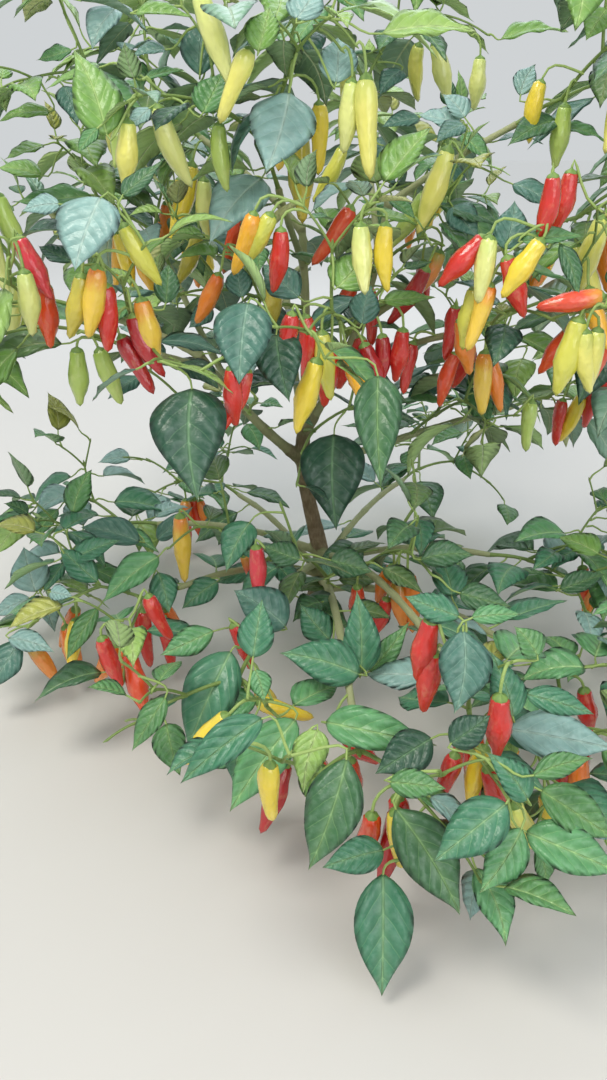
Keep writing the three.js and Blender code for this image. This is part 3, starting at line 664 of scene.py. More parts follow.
# How far a seen leaf comes forward, so that no twig cuts through it and no pod goes behind it
def standForward(row, depth, crossing, pods):
    deep = crossing[:, 2]
    cut = coveredBy(row, crossing) & (deep < depth + placing["crossed"]) & (deep > depth - placing["forward"])
    nearer = depth - deep[cut].min() + placing["spare"] if cut.any() else 0
    hidden = (pods[:, 2] < depth) & (pods[:, 2] > depth - nearer - placing["podSpare"])
    return 0 if (coveredBy(row, pods) & hidden).any() else nearer


def alongPods(pods, shares):
    return seenAt(np.array([pod["top"] + pod["direction"] * pod["length"] * t for pod in pods for t in shares]))


def placeSeen(limbs, grown):
    carriers = findCarriers(limbs, grown)
    crossing = seenAt(carriers)
    pods, leaves, shoots = [], [], []
    for x, y, tipX, tipY, tone in seenPods:
        carrier, top, gap = carrierFor(x, y, carriers, *placing["podHang"])
        across, down = (tipX - x), (tipY - y) / eye["over"][2]
        depth = (top - eye["place"]) @ eye["ahead"]
        length = np.clip(math.hypot(across, down) * depth / eye["focal"], *placing["podLength"])
        way = unit(eye["right"] * across - upward * down)
        root = stalkRoot(carrier, top + upward * placing["shootEnd"], gap, placing["podReach"], shoots)
        tip = top + way * length
        if tip[2] > growth["groundClearance"]:
            pods.append({"root": root, "direction": way, "length": length, "top": top, "tone": tone,
                         "item": stripAround(top, tip, placing["girth"])})
    hung = alongPods(pods, (0, 0.25, 0.5, 0.75))
    for x, y, tipX, tipY, width, tone in seenLeaves:
        carrier, base, gap = carrierFor(x, y, carriers, *placing["leafHang"])
        depth = (base - eye["place"]) @ eye["ahead"]
        nearer = standForward((x, y, tipX, tipY, width), depth, crossing, hung)
        if (base - eye["ahead"] * nearer)[1] > placing["front"]:
            base = base - sightTo(x, y) * nearer / (sightTo(x, y) @ eye["ahead"])
            depth = depth - nearer
            gap = np.linalg.norm(carrier - base)
        reach = (eye["right"] * (tipX - x) - eye["over"] * (tipY - y)) * depth / eye["focal"]
        away = eye["ahead"] * placing["leanBack" if tipY > y else "leanAhead"] * np.linalg.norm(reach)
        short = (base + reach - away)[2] - growth["groundClearance"] - placing["tipSpare"]
        away = away + eye["ahead"] * min(short, 0)
        root = stalkRoot(carrier, base, gap, placing["leafReach"], shoots)
        leaf = {"root": root, "base": base, "direction": unit(reach - away), "tone": tone,
                "blade": np.linalg.norm(reach - away), "width": width * depth / eye["focal"]}
        leaf["item"] = seenItem(leaf)
        leaves.append(leaf)
    return pods, leaves, shoots


# A seen leaf turns its upper face to the sky and to the camera
def seenFace(way):
    face = unit(upward * placing["toSky"] - eye["ahead"] * placing["toCamera"])
    return unit(face - way * (face @ way))


def seenItem(leaf):
    base = leaf["base"]
    aside = np.cross(leaf["direction"], seenFace(leaf["direction"])) * leaf["width"] / 2
    widest = base + leaf["direction"] * leaf["blade"] * growth["leafWidest"]
    return kiteItem(base, widest - aside, base + leaf["direction"] * leaf["blade"], widest + aside)


# A carrier too far away sends out a fine shoot, and the stalk leaves that
def stalkRoot(spot, target, gap, reach, shoots):
    if gap <= reach:
        return spot
    end = spot + (target - spot) * (1 - placing["shootEnd"] / gap)
    shoots.append({"start": spot, "end": end, "direction": unit(end - spot), "length": gap, "depth": 3})
    return end


# Where the photograph shows light through the plant: middle, half width, half height, share of leaves left out
openings = [
    (482, 482, 118, 58, 0.8), (262, 478, 40, 62, 0.8), (112, 470, 78, 46, 0.7), (58, 752, 96, 62, 1),
    (172, 700, 34, 40, 0.7), (285, 890, 40, 56, 1), (294, 812, 28, 36, 1), (152, 440, 30, 60, 1),
    (215, 868, 46, 44, 1), (331, 443, 12, 14, 1),
]
openDraw = seeded(6203)


def standsInOpening(leaf):
    x, y, _ = seenAt(leaf["root"] + leaf["direction"] * leaf["length"] * 0.6)[0]
    return any(((x - a) / wide) ** 2 + ((y - b) / high) ** 2 < 1 and openDraw(0, 1) < share
               for a, b, wide, high, share in openings)


# A grown leaf or pod that would stand before a seen one, or cut through it, is left out
def standsBefore(corners, seen):
    flat = seenAt(corners)
    near = seen[seen[:, 2] - placing["hidden"] > flat[:, 2].min()]
    turns = [(b[0] - a[0]) * (near[:, 1] - a[1]) - (b[1] - a[1]) * (near[:, 0] - a[0])
             for a, b in zip(flat, np.roll(flat, -1, axis=0))]
    return bool((np.abs(np.sign(turns).sum(axis=0)) == 4).any())


def leafKept(leaf, seen, seenItems):
    corners = leaf["item"]["edges"].reshape(-1, 3)[[0, 1, 3, 5]]
    return not standsBefore(corners, seen) and not meets(leaf["item"], seenItems)


def podKept(fruit, seen, seenItems):
    top = fruit["root"] + fruit["direction"] * growth["stalkLength"]
    aside = unit(np.cross(fruit["direction"], eye["ahead"])) * placing["girth"]
    corners = np.array([top - aside, top + aside, fruit["tip"] + aside, fruit["tip"] - aside])
    return not standsBefore(corners, seen) and not meets(fruit["thin"], seenItems)


# A twig stays where something stands on it, or on a twig beyond it
def pruneTwigs(twigs, roots):
    kept = set()
    for twig in sorted(twigs, key=lambda one: -one["number"]):
        along = np.clip((roots - twig["start"]) @ twig["direction"], 0, twig["length"])
        off = roots - twig["start"] - along[:, None] * twig["direction"]
        near = np.linalg.norm(off, axis=1) < placing["bears"]
        if twig["depth"] == 0 or numbersBeyond(twig) & kept or near.any():
            kept.add(twig["number"])
    return [twig for twig in twigs if twig["number"] in kept]


limbs, limbItems = placeLimbs()
masses = placeMasses(limbs)
grown = [growMass(mass, masses, limbItems) for mass in masses]
taken = [one["item"] for g in grown for one in g["leaves"] + g["fruits"]]
boughLeaves = growBoughLeaves(limbs, masses, taken) + growTufts(grown)
podsSeen, leavesSeen, seenShoots = placeSeen(limbs, grown)
seenItems = [one["item"] for one in podsSeen + leavesSeen]

# What stays in sight: the seen pods and leaves, and for leaves the stems that the photograph shows bare as well
leafSpots = []
for leaf in leavesSeen:
    sideways = unit(np.cross(leaf["direction"], eye["ahead"])) * leaf["width"]
    leafSpots += [leaf["base"] + leaf["direction"] * leaf["blade"] * t + sideways * aside * hand
                  for t, aside in placing["spots"] for hand in (-1, 0, 1)]
bareStems = {"trunk": (0.3, 1), "left": (0.05, 0.75), "middle": (0, 0.4), "right": (0.1, 0.6)}
stemSpots = [pointOn(limbs[name]["points"], share) for name, (low, high) in bareStems.items()
             for share in np.linspace(low, high, 9)]
podSpots = np.vstack([alongPods(podsSeen, (0.25, 0.7)), seenAt(np.array(leafSpots))])
seen = np.vstack([podSpots, seenAt(np.array(stemSpots))])
for g in grown:
    crown = g["mass"]["kind"] == "crown"
    g["fruits"] = [fruit for fruit in g["fruits"]
                   if podKept(fruit, podSpots, seenItems) and not standsInOpening(fruit)]
    g["leaves"] = [leaf for leaf in g["leaves"]
                   if leafKept(leaf, seen, seenItems) and (crown or not standsInOpening(leaf))]
boughLeaves = [leaf for leaf in boughLeaves if leafKept(leaf, seen, seenItems) and not standsInOpening(leaf)]
for g in grown:
    borne = g["leaves"] + g["fruits"] + boughLeaves + podsSeen + leavesSeen
    roots = np.array([one["root"] for one in borne] + [shoot["start"] for shoot in seenShoots])
    g["twigs"] = pruneTwigs(g["twigs"], roots)
print("grown:", sum(len(g["twigs"]) for g in grown), "twigs,", sum(len(g["fruits"]) for g in grown), "fruit,",
      sum(len(g["leaves"]) for g in grown) + len(boughLeaves), "leaves")


# A Math node as an operator of Python, and with the sides changed over
def mathNode(operation, turned=False):
    def join(self, other):
        first, second = (other, self) if turned else (self, other)
        return self.finish.add("ShaderNodeMath", {"operation": operation}, {0: first, 1: second})
    return join


# A shader value that takes part in Python expressions
class Wire:
    def __init__(self, finish, socket):
        self.finish = finish
        self.socket = socket

    __add__ = mathNode("ADD")
    __radd__ = mathNode("ADD", True)
    __sub__ = mathNode("SUBTRACT")
    __rsub__ = mathNode("SUBTRACT", True)
    __mul__ = mathNode("MULTIPLY")
    __rmul__ = mathNode("MULTIPLY", True)
    __truediv__ = mathNode("DIVIDE")
    __rtruediv__ = mathNode("DIVIDE", True)

    def math(self, operation, *others):
        return self.finish.add("ShaderNodeMath", {"operation": operation}, dict(enumerate((self, *others))))

    def clamped(self):
        return self.math("MINIMUM", 1).math("MAXIMUM", 0)


class Finish:
    def __init__(self, name):
        self.material = bpy.data.materials.new(name)
        self.material.use_nodes = True
        self.tree = self.material.node_tree
        self.shader = self.tree.nodes["Principled BSDF"]

    # Any node: its type, its settings, then the values or wires of its sockets
    def add(self, kind, settings, sockets, out=0):
        node = self.tree.nodes.new(kind)
        for key, value in settings.items():
            setattr(node, key, value)
        for key, value in sockets.items():
            self.feed(node.inputs[key], value)
        return Wire(self, node.outputs[out])

    def feed(self, socket, value):
        if isinstance(value, Wire):
            self.tree.links.new(value.socket, socket)
        elif socket.type == "RGBA":
            socket.default_value = (*value, 1)
        else:
            socket.default_value = value

    def set(self, **values):
        for name, value in values.items():
            self.feed(self.shader.inputs[name.replace("_", " ")], value)
        return self.material

    def mix(self, amount, first, second):
        return self.add("ShaderNodeMix", {"data_type": "RGBA"}, {0: amount, 6: first, 7: second}, out=2)

    def steps(self, amount, colours):
        ramp = self.add("ShaderNodeValToRGB", {}, {0: amount})
        band = ramp.socket.node.color_ramp
        band.interpolation = "CONSTANT"
        while len(band.elements) < len(colours):
            band.elements.new(1)
        for i, (element, colour) in enumerate(zip(band.elements, colours)):
            element.position = i / len(colours)
            element.color = (*colour, 1)
        return ramp

    def noise(self, where, scale, detail=3, rough=0.5):
        return self.add("ShaderNodeTexNoise", {},
                        {"Vector": where, "Scale": scale, "Detail": detail, "Roughness": rough})

    def relief(self, height, distance, strength=1.0):
        return self.add("ShaderNodeBump", {}, {"Strength": strength, "Distance": distance, "Height": height})

    def objectSpot(self):
        return self.add("ShaderNodeTexCoord", {}, {}, out="Object")

    def ownMap(self):
        spot = self.add("ShaderNodeUVMap", {"uv_map": "OFBake"}, {})
        return [self.add("ShaderNodeSeparateXYZ", {}, {0: spot}, out=axis) for axis in (0, 1)]


# A colour as it looks on screen, given as the shader needs it
def shade(code):
    parts = [int(code[i:i + 2], 16) / 255 for i in (0, 2, 4)]
    return tuple(p / 12.92 if p <= 0.04045 else ((p + 0.055) / 1.055) ** 2.4 for p in parts)


# Leaf tones: upper face, under face, vein. The rank of a tone is its tile in the map
leafTones = {
    "deep": ("234f3a", "66896a", "7fa67c"), "slate": ("4a786a", "7f9f8c", "9dc0aa"),
    "mid": ("3b6a40", "7b9d70", "93b87c"), "fresh": ("578e50", "8fb274", "abd088"),
    # bright: a yellow-green lightened with painted light shining through the leaf from behind
    "bright": ("74a246", "a8c87a", "c2de92"), "young": ("97bc5c", "b6d284", "d2e6a0"),
    "olive": ("587a40", "8ca06c", "a8bb80"), "pale": ("82ac90", "a6c2a2", "c4dabe"),
    "low": ("428260", "82a67e", "a0c892"), "lowBright": ("60a066", "98bd82", "b8dc98"),
    # sheen: a pale blue-green base colour that stands for the painted sheen of the sky on the leaf's upper face
    "sheen": ("8fb6b0", "a0c0b0", "c0d9cc"), "yellowed": ("b0b452", "c2c582", "dadc9c"),
}
leafTones = {name: tuple(shade(code) for code in codes) for name, codes in leafTones.items()}
toneRank = {name: rank for rank, name in enumerate(leafTones)}
tiles = 4


# The tile of a spot on the map, as a share of all tiles, and the spot's place in that tile
def tileOf(u, v):
    column = (u * tiles).math("FLOOR")
    row = (v * tiles).math("FLOOR")
    return (column + row * tiles + 0.5) / (tiles * tiles), (u * tiles).math("FRACT"), (v * tiles).math("FRACT")


def toneSteps(finish, rank, tones, which):
    colours = [codes[which] for codes in tones.values()]
    return finish.steps(rank, colours + [colours[-1]] * (tiles * tiles - len(colours)))


leafLook = {"veins": 6.2, "forward": 0.95, "curve": 1.7, "halfWidth": 0.27, "warp": 0.3, "pucker": 0.0015}


def leafFinish(name):
    finish = Finish(name)
    u, v = finish.ownMap()
    rank, a, along = tileOf(u, v)
    under = a.math("GREATER_THAN", 0.5)
    across = ((a * 2).math("FRACT") * 2 - 1).math("ABSOLUTE")
    flat = finish.add("ShaderNodeCombineXYZ", {}, {0: a, 1: along, 2: rank * 40})
    mottle = finish.noise(flat, 8, 4, 0.6)
    swell = finish.noise(flat, 17, 2, 0.5)
    fine = finish.noise(flat, 70, 3, 0.6)
    x = across * leafLook["halfWidth"]
    phase = (along - x * leafLook["forward"] - x * x * leafLook["curve"]) * leafLook["veins"]
    away = (phase + (mottle - 0.5) * leafLook["warp"]).math("PINGPONG", 0.5)
    vein = (1 - away / 0.055).clamped() * (1 - across * 0.85).clamped()
    midrib = (1 - across / (0.062 - along * 0.03)).clamped()
    top = toneSteps(finish, rank, leafTones, 0)
    below = toneSteps(finish, rank, leafTones, 1)
    line = toneSteps(finish, rank, leafTones, 2)
    dark = finish.mix(0.3, top, shade("24422c"))
    # light is a painted highlight: a whitish green laid on the leaf where it swells between the veins
    light = finish.mix(0.28, top, shade("c8dcd0"))
    upper = finish.mix((mottle * 2.6 - 0.75).clamped(), dark, top)
    # Painted sheen: the swellings between the veins are lightened towards the whitish green, standing for gloss
    # catching the lamps
    upper = finish.mix((swell * 1.8 - 0.6).clamped() * (away * 2.6).clamped() * 0.55, upper, light)
    glow = (1 - across / 0.34).clamped()
    upper = finish.mix(glow * glow * 0.3, upper, line)
    upper = finish.mix((across - 0.92).clamped() * 1.6, upper, line)
    upper = finish.mix(vein * 0.34, upper, line)
    upper = finish.mix(midrib * 0.75, upper, line)
    lower = finish.mix(mottle * 0.4, below, shade("a4ba93"))
    lower = finish.mix(vein * 0.45, lower, shade("cddab4"))
    lower = finish.mix(midrib * 0.85, lower, shade("d6e0ba"))
    bulge = (away * 2).math("SMOOTH_MIN", 0.8)
    height = (bulge * 0.8 + swell * 0.7) * (1 - midrib) + fine * 0.08
    return finish.set(
        Base_Color=finish.mix(under, upper, lower), Roughness=0.27 + under * 0.3 + fine * 0.12,
        Normal=finish.relief(height, leafLook["pucker"], 0.9),
        Specular_IOR_Level=0.48, Sheen_Weight=0.05, Sheen_Roughness=0.5, Sheen_Tint=shade("d5e4e8"),
    )


# Pod tones: body, shoulder below the cup, tip
podTones = {
    "green": ("b3cb66", "a2c05c", "c2d478"), "cream": ("e3e68c", "cfde80", "e9ea9c"),
    "paleYellow": ("ebe474", "d4dc72", "f0e884"), "yellow": ("f3d63e", "e4d046", "f6da4c"),
    "amber": ("f2b32e", "ea9a2c", "f5c03c"), "orangeShoulder": ("efc847", "e3782c", "f2cd54"),
    "orange": ("ee8526", "e26a20", "f19333"), "scarlet": ("e24c24", "d03c1e", "e75a2a"),
    "red": ("d42e26", "bf241f", "db402c"), "deepRed": ("b32024", "991a1f", "c02a28"),
    "greenOrange": ("e68a36", "a9ad4c", "e8943e"), "redYellow": ("de4c2e", "e6a83e", "d33e28"),
    "olive": ("c9b944", "b0ac44", "d2c04c"), "yellowGreen": ("dbd858", "c4c852", "e0dd60"),
    "pinkRed": ("de3c48", "d23040", "e04850"),
}
podTones = {name: tuple(shade(code) for code in codes) for name, codes in podTones.items()}
podRank = {name: rank for rank, name in enumerate(podTones)}
podLook = {"cupAt": 0.8, "ripple": 0.0016}


def podFinish(name):
    finish = Finish(name)
    u, v = finish.ownMap()
    rank, around, along = tileOf(u, v)
    cup = along.math("GREATER_THAN", podLook["cupAt"])
    turn = around * (2 * math.pi)
    down = (along / podLook["cupAt"]).clamped()
    ring = finish.add("ShaderNodeCombineXYZ", {},
                      {0: turn.math("COSINE"), 1: turn.math("SINE"), 2: down * 4 + rank * 50})
    blotch = finish.noise(ring, 1.3, 3, 0.55)
    knob = finish.noise(ring, 2.1, 1, 0.4)
    fine = finish.noise(ring, 14, 3, 0.6)
    body = toneSteps(finish, rank, podTones, 0)
    shoulder = toneSteps(finish, rank, podTones, 1)
    end = toneSteps(finish, rank, podTones, 2)
    top = (1 - (down + (blotch - 0.5) * 0.35) / 0.34).clamped()
    low = ((down + (blotch - 0.5) * 0.3 - 0.62) / 0.36).clamped()
    skin = finish.mix(low, finish.mix(top, body, shoulder), end)
    skin = finish.mix((blotch - 0.55).clamped() * 1.4, skin, finish.mix(0.5, shoulder, shade("fff0b0")))
    rib = (turn * 5).math("COSINE") * 0.5 + 0.5
    green = finish.mix(rib * 0.6, shade("6f9142"), shade("97b45c"))
    green = finish.mix(fine * 0.5, green, shade("587a3e"))
    return finish.set(
        Base_Color=finish.mix(cup, skin, green), Roughness=0.22 + cup * 0.28 + fine * 0.06,
        Coat_Weight=(1 - cup) * 0.5, Coat_Roughness=0.1,
        Normal=finish.relief(knob * (1 - cup) + fine * 0.03, podLook["ripple"], 0.9), Specular_IOR_Level=0.6,
    )


barkLook = {"bark": "84725a", "grain": "a59577", "crack": "5f4e39", "spot": "b8a98a", "green": "727c50",
            "young": "a6ae80", "streak": "9c8f6e"}


def barkFinish(name):
    finish = Finish(name)
    spot = finish.objectSpot()
    age = finish.add("ShaderNodeAttribute", {"attribute_name": "age"}, {}, out="Fac")
    drawn = finish.add("ShaderNodeMapping", {"vector_type": "POINT"}, {"Vector": spot, "Scale": (1, 1, 0.16)})
    grain = finish.noise(drawn, 620, 5, 0.62)
    patch = finish.noise(spot, 55, 4, 0.6)
    dots = finish.add("ShaderNodeTexVoronoi", {"feature": "F1"}, {"Vector": drawn, "Scale": 240})
    lenticel = (1 - dots / 0.2).clamped()
    bark = finish.mix((grain - 0.3).clamped() * 1.6, shade(barkLook["crack"]), shade(barkLook["bark"]))
    bark = finish.mix((patch - 0.42).clamped() * 2.4, bark, shade(barkLook["grain"]))
    bark = finish.mix(lenticel * 0.45, bark, shade(barkLook["spot"]))
    tender = (patch * 0.6 + 0.6 - age * 1.7).clamped()
    green = finish.mix(tender, shade(barkLook["green"]), shade(barkLook["young"]))
    green = finish.mix((grain - 0.4).clamped() * 1.3, green, shade(barkLook["streak"]))
    aged = (age + (patch - 0.5) * 0.5).clamped()
    return finish.set(
        Base_Color=finish.mix(aged, green, bark), Roughness=0.55 + aged * 0.27 + grain * 0.08,
        Normal=finish.relief(grain * 0.7 + patch * 0.6 + lenticel * 0.4, 0.0011, 0.8),
    )


def shootFinish(name, dark, light, streak):
    finish = Finish(name)
    spot = finish.objectSpot()
    patch = finish.noise(spot, 42, 4, 0.6)
    fine = finish.noise(spot, 420, 3, 0.6)
    green = finish.mix(patch, shade(dark), shade(light))
    green = finish.mix((fine - 0.45).clamped() * 1.4, green, shade(streak))
    return finish.set(Base_Color=green, Roughness=0.42 + fine * 0.16, Normal=finish.relief(fine + patch, 0.0004, 0.6))


# The floor pales with distance, so that it runs into the sky
floorLook = {"near": "d3d1cd", "far": "fbfbfa", "start": 1.1, "run": 3.6}


def floorFinish(name):
    finish = Finish(name)
    away = finish.add("ShaderNodeVectorMath", {"operation": "LENGTH"}, {0: finish.objectSpot()}, out="Value")
    pale = ((away - floorLook["start"]) / floorLook["run"]).clamped()
    return finish.set(Base_Color=finish.mix(pale, shade(floorLook["near"]), shade(floorLook["far"])), Roughness=0.8)


# Modelling: what repeats is made once here, read as arrays, and set out by the growth above
def clearAll():
    if bpy.context.object and bpy.context.object.mode != "OBJECT":
        bpy.ops.object.mode_set(mode="OBJECT")
    bpy.ops.object.select_all(action="DESELECT")


def takeUp(*pieces):
    clearAll()
    for piece in pieces:
        piece.select_set(True)
    bpy.context.view_layer.objects.active = pieces[0]


def joined(*pieces):
    takeUp(*pieces)
    bpy.ops.object.join()
    return bpy.context.object


def addObject(name, data):
    piece = bpy.data.objects.new(name, data)
    bpy.context.scene.collection.objects.link(piece)
    return piece


def readSpots(mesh):
    spots = np.zeros(len(mesh.vertices) * 3)
    mesh.vertices.foreach_get("co", spots)
    return spots.reshape(-1, 3)


def writeSpots(mesh, spots):
    mesh.vertices.foreach_set("co", spots.ravel())
    mesh.update()


# One of several, as the draw deals it
def pick(options, draw):
    return options[int(draw(0, len(options) - 0.001))]


leafForm = {"rows": 10, "columns": 4, "fineRows": 18, "fineColumns": 6, "keel": 0.012, "keelWidth": 0.1,
            "waves": 17, "slant": 2.2, "sweep": 2.2, "rim": 1.08}
# Half width, fold, bulge of each half, waviness of the rim, sweep to a side, fullness at the base and at the tip
leafKinds = [
    (0.30, 0.18, 0.030, 0.008, 0.00, 0.84, 1.4), (0.31, 0.26, 0.034, 0.012, 0.06, 0.76, 1.5),
    (0.28, 0.10, 0.026, 0.018, -0.06, 0.95, 1.45), (0.29, 0.38, 0.036, 0.010, 0.03, 0.8, 1.35),
    (0.26, 0.22, 0.028, 0.022, -0.1, 1.0, 1.6), (0.32, 0.08, 0.032, 0.016, 0.09, 0.68, 1.5),
]


def leafWidth(t, base, tip):
    peak = base / (base + tip)
    return t ** base * (1 - t) ** tip / (peak ** base * (1 - peak) ** tip)


# The midrib sweeps to one side between its ends
def midribAt(t, sweep):
    return sweep * (t - t * t) * leafForm["sweep"]


def shapeBlade(blade, kind, below):
    half, fold, bulge, wave, sweep, base, tip = kind
    s, y, _ = readSpots(blade.data).T
    t = np.clip((y + 1) / 2, 0, 1)
    aside = np.abs(s)
    ends = (t > 0.001) & (t < 0.999)
    width = np.where(ends, leafWidth(t, base, tip), 0) * half
    rise = aside * width * fold + bulge * ends * (1 - (2 * aside - 1) ** 2) * width / half
    rise = rise + wave * np.sin(t * leafForm["waves"] + s * leafForm["slant"]) * aside ** 2 * ends
    if below:
        rise = np.where(aside < leafForm["keelWidth"], -leafForm["keel"] * ends * (1 - 0.5 * t), rise)
    writeSpots(blade.data, np.stack([s * width + midribAt(t, sweep), t, rise], axis=1))


# Faces all one way, then turned over if the whole came out inside out
def turnOutward(piece):
    takeUp(piece)
    bpy.ops.object.mode_set(mode="EDIT")
    bpy.ops.mesh.select_all(action="SELECT")
    bpy.ops.mesh.remove_doubles(threshold=0.0005)
    bpy.ops.mesh.normals_make_consistent(inside=False)
    bpy.ops.object.mode_set(mode="OBJECT")
    if sum(face.center.dot(face.normal) * face.area for face in piece.data.polygons) < 0:
        bpy.ops.object.mode_set(mode="EDIT")
        bpy.ops.mesh.flip_normals()
        bpy.ops.object.mode_set(mode="OBJECT")


# One leaf: two grids pinned at the base, the rim and the tip
def modelLeaf(kind, rows, columns):
    blades = []
    for across, below in ((columns, False), (2, True)):
        clearAll()
        bpy.ops.mesh.primitive_grid_add(x_subdivisions=across, y_subdivisions=rows, size=2)
        blades.append(bpy.context.object)
        shapeBlade(blades[-1], kind, below)
    leaf = joined(*blades)
    turnOutward(leaf)
    half, sweep = kind[0], kind[4]

    def place(spot, face):
        across = (spot[0] - midribAt(spot[1], sweep)) / (half * leafForm["rim"])
        return ((across + 1) / 4 + (0 if face.normal.z > 0 else 0.5), 0.03 + 0.94 * spot[1])

    return {**readModel(leaf, place), "half": half}


def readModel(piece, place):
    spots = readSpots(piece.data)
    faces = [tuple(face.vertices) for face in piece.data.polygons]
    marks = np.array([place(spots[corner], face) for face in piece.data.polygons for corner in face.vertices])
    bpy.data.objects.remove(piece)
    return {"spots": spots, "faces": faces, "marks": marks}


# The frame's box and the little that foliage may stand proud of it
proud = {"share": 0.022, "more": 0.008, "shrink": 0.86, "tries": 4, "floor": 1.5}


def inRoom(spots):
    low, high = (np.array(corner) / millimetre for corner in cadBox)
    spare = (high - low) * proud["share"] + proud["more"] / millimetre
    return bool((spots >= low - spare).all() and (spots <= high + spare).all() and spots[:, 2].min() > proud["floor"])


# Copies of a model set out as one joined mesh: each place is (model, spots, tile)
def setOut(name, places):
    spots, faces, marks, count = [], [], [], 0
    for model, placed, tile in places:
        spots.append(placed)
        faces += [tuple(corner + count for corner in face) for face in model["faces"]]
        marks.append((model["marks"] + (tile % tiles, tile // tiles)) / tiles)
        count += len(placed)
    mesh = bpy.data.meshes.new(name)
    mesh.from_pydata(np.vstack(spots) * millimetre, [], faces)
    mesh.uv_layers.new(name="OFBake").uv.foreach_set("vector", np.vstack(marks).ravel().astype(np.float32))
    mesh.polygons.foreach_set("use_smooth", np.ones(len(faces), bool))
    return addObject(name, mesh)


bladeForm = {
    "stalk": 0.27, "blade": 0.8, "bend": (0.3, 1.0), "twist": (-0.3, 0.3), "wide": (0.9, 1.12), "lift": 4,
    "seenBend": (0.25, 0.7), "seenTwist": (-0.25, 0.25), "seenWide": (0.6, 1.35),
    "radii": (1.35, 0.85), "into": 1.5, "alongTwig": 0.6, "rise": 0.5, "seenRise": 12, "steps": 4, "seenSteps": 5,
}


# The leaf's model bent along its length, turned, and laid from its base along its way
def layBlade(model, base, way, face, blade, bend, twist, wide):
    spots = model["spots"]
    turn = twist * spots[:, 1]
    x = (spots[:, 0] * np.cos(turn) - spots[:, 2] * np.sin(turn)) * wide
    z = spots[:, 0] * np.sin(turn) + spots[:, 2] * np.cos(turn)
    angle = bend * (0.5 - spots[:, 1])
    y = (math.sin(bend / 2) - np.sin(angle)) / bend - z * np.sin(angle)
    z = (np.cos(angle) - math.cos(bend / 2)) / bend + z * np.cos(angle)
    level = np.cross(way, face)
    placed = base + blade * (x[:, None] * level + y[:, None] * way + z[:, None] * face)
    return placed, unit(way * math.cos(bend / 2) + face * math.sin(bend / 2))


def placeLeaf(leaf, models, draw):
    model = pick(models, draw)
    way = leaf["direction"]
    face = np.cross(turnedAcross(way, leaf["roll"]), way)
    base = leaf["root"] + way * leaf["length"] * bladeForm["stalk"] + upward * bladeForm["lift"]
    placed, start = layBlade(model, base, way, face, leaf["length"] * bladeForm["blade"],
                             draw(*bladeForm["bend"]), draw(*bladeForm["twist"]), draw(*bladeForm["wide"]))
    leave = unit(way + leaf["twig"]["direction"] * bladeForm["alongTwig"] + upward * bladeForm["rise"])
    end = base + start * bladeForm["into"]
    return model, placed, stalkLine(leaf["root"], end, leave, start, bladeForm["radii"], bladeForm["steps"])


def placeSeenLeaf(leaf, models, draw):
    model = pick(models, draw)
    way = leaf["direction"]
    wide = np.clip(leaf["width"] / (2 * model["half"] * leaf["blade"]), *bladeForm["seenWide"])
    placed, start = layBlade(model, leaf["base"], way, seenFace(way), leaf["blade"],
                             draw(*bladeForm["seenBend"]), draw(*bladeForm["seenTwist"]), wide)
    leave = unit(leaf["base"] - leaf["root"] + upward * bladeForm["seenRise"])
    end = leaf["base"] + start * bladeForm["into"]
    return model, placed, stalkLine(leaf["root"], end, leave, start, bladeForm["radii"], bladeForm["seenSteps"])


# A stalk's arch as points with their radii: out along its twig, then over to the leaf or the fruit
def stalkLine(first, last, leave, arrive, radii, steps):
    reach = np.linalg.norm(last - first) * 0.5
    a, b, c, d = first, first + leave * reach, last - arrive * reach, last
    line = []
    for i in range(steps + 1):
        t = i / steps
        spot = a * (1 - t) ** 3 + 3 * b * t * (1 - t) ** 2 + 3 * c * t * t * (1 - t) + d * t ** 3
        line.append((spot, radii[0] + (radii[1] - radii[0]) * t))
    return line


# Round lines as one curve object with a radius at each point, turned into a mesh
def tubePiece(name, lines, roundness):
    curve = bpy.data.curves.new(name, "CURVE")
    curve.dimensions = "3D"
    curve.bevel_depth = millimetre
    curve.bevel_resolution = roundness
    curve.use_fill_caps = True
    for line in lines:
        spline = curve.splines.new("POLY")
        spline.points.add(len(line) - 1)
        for point, (spot, radius) in zip(spline.points, line):
            point.co = (*(spot * millimetre), 1)
            point.radius = radius
    takeUp(addObject(name, curve))
    bpy.ops.object.convert(target="MESH")
    piece = bpy.context.object
    piece.name = name
    bpy.ops.object.shade_smooth()
    return piece


def applyLast(piece, kind, **settings):
    takeUp(piece)
    change = piece.modifiers.new(kind.lower(), kind)
    for key, value in settings.items():
        setattr(change, key, value)
    bpy.ops.object.modifier_apply(modifier=change.name)


podForm = {"sides": 9, "girth": 0.14, "knobs": 0.007, "bead": 2.9}
# Share of the length and share of the girth
podProfile = [(0, 0.56), (0.05, 0.8), (0.13, 0.94), (0.25, 1.0), (0.4, 1.0), (0.55, 0.92), (0.69, 0.78),
              (0.81, 0.61), (0.91, 0.42), (0.975, 0.2)]
# Sideways bend, depth of the waists, girth
podKinds = [(0.06, 0.05, 1.0), (0.2, 0.1, 0.95), (-0.14, 0.14, 1.04), (0.12, -0.09, 0.9), (-0.26, 0.08, 1.0),
            (0.02, 0.16, 1.08)]


# Ring after ring drawn out of a circle: how far aside and along, the change of size and its middle
def drawRings(rings):
    for aside, down, scale, centre in rings:
        bpy.ops.mesh.extrude_region_move(TRANSFORM_OT_translate={"value": (aside, 0, down)})
        bpy.ops.transform.resize(value=(scale, scale, 1), center_override=centre)


def ringOf(radius, height):
    clearAll()
    bpy.ops.mesh.primitive_circle_add(vertices=podForm["sides"], radius=radius, fill_type="NGON",
                                      location=(0, 0, height))
    bpy.ops.object.mode_set(mode="EDIT")
    return bpy.context.object


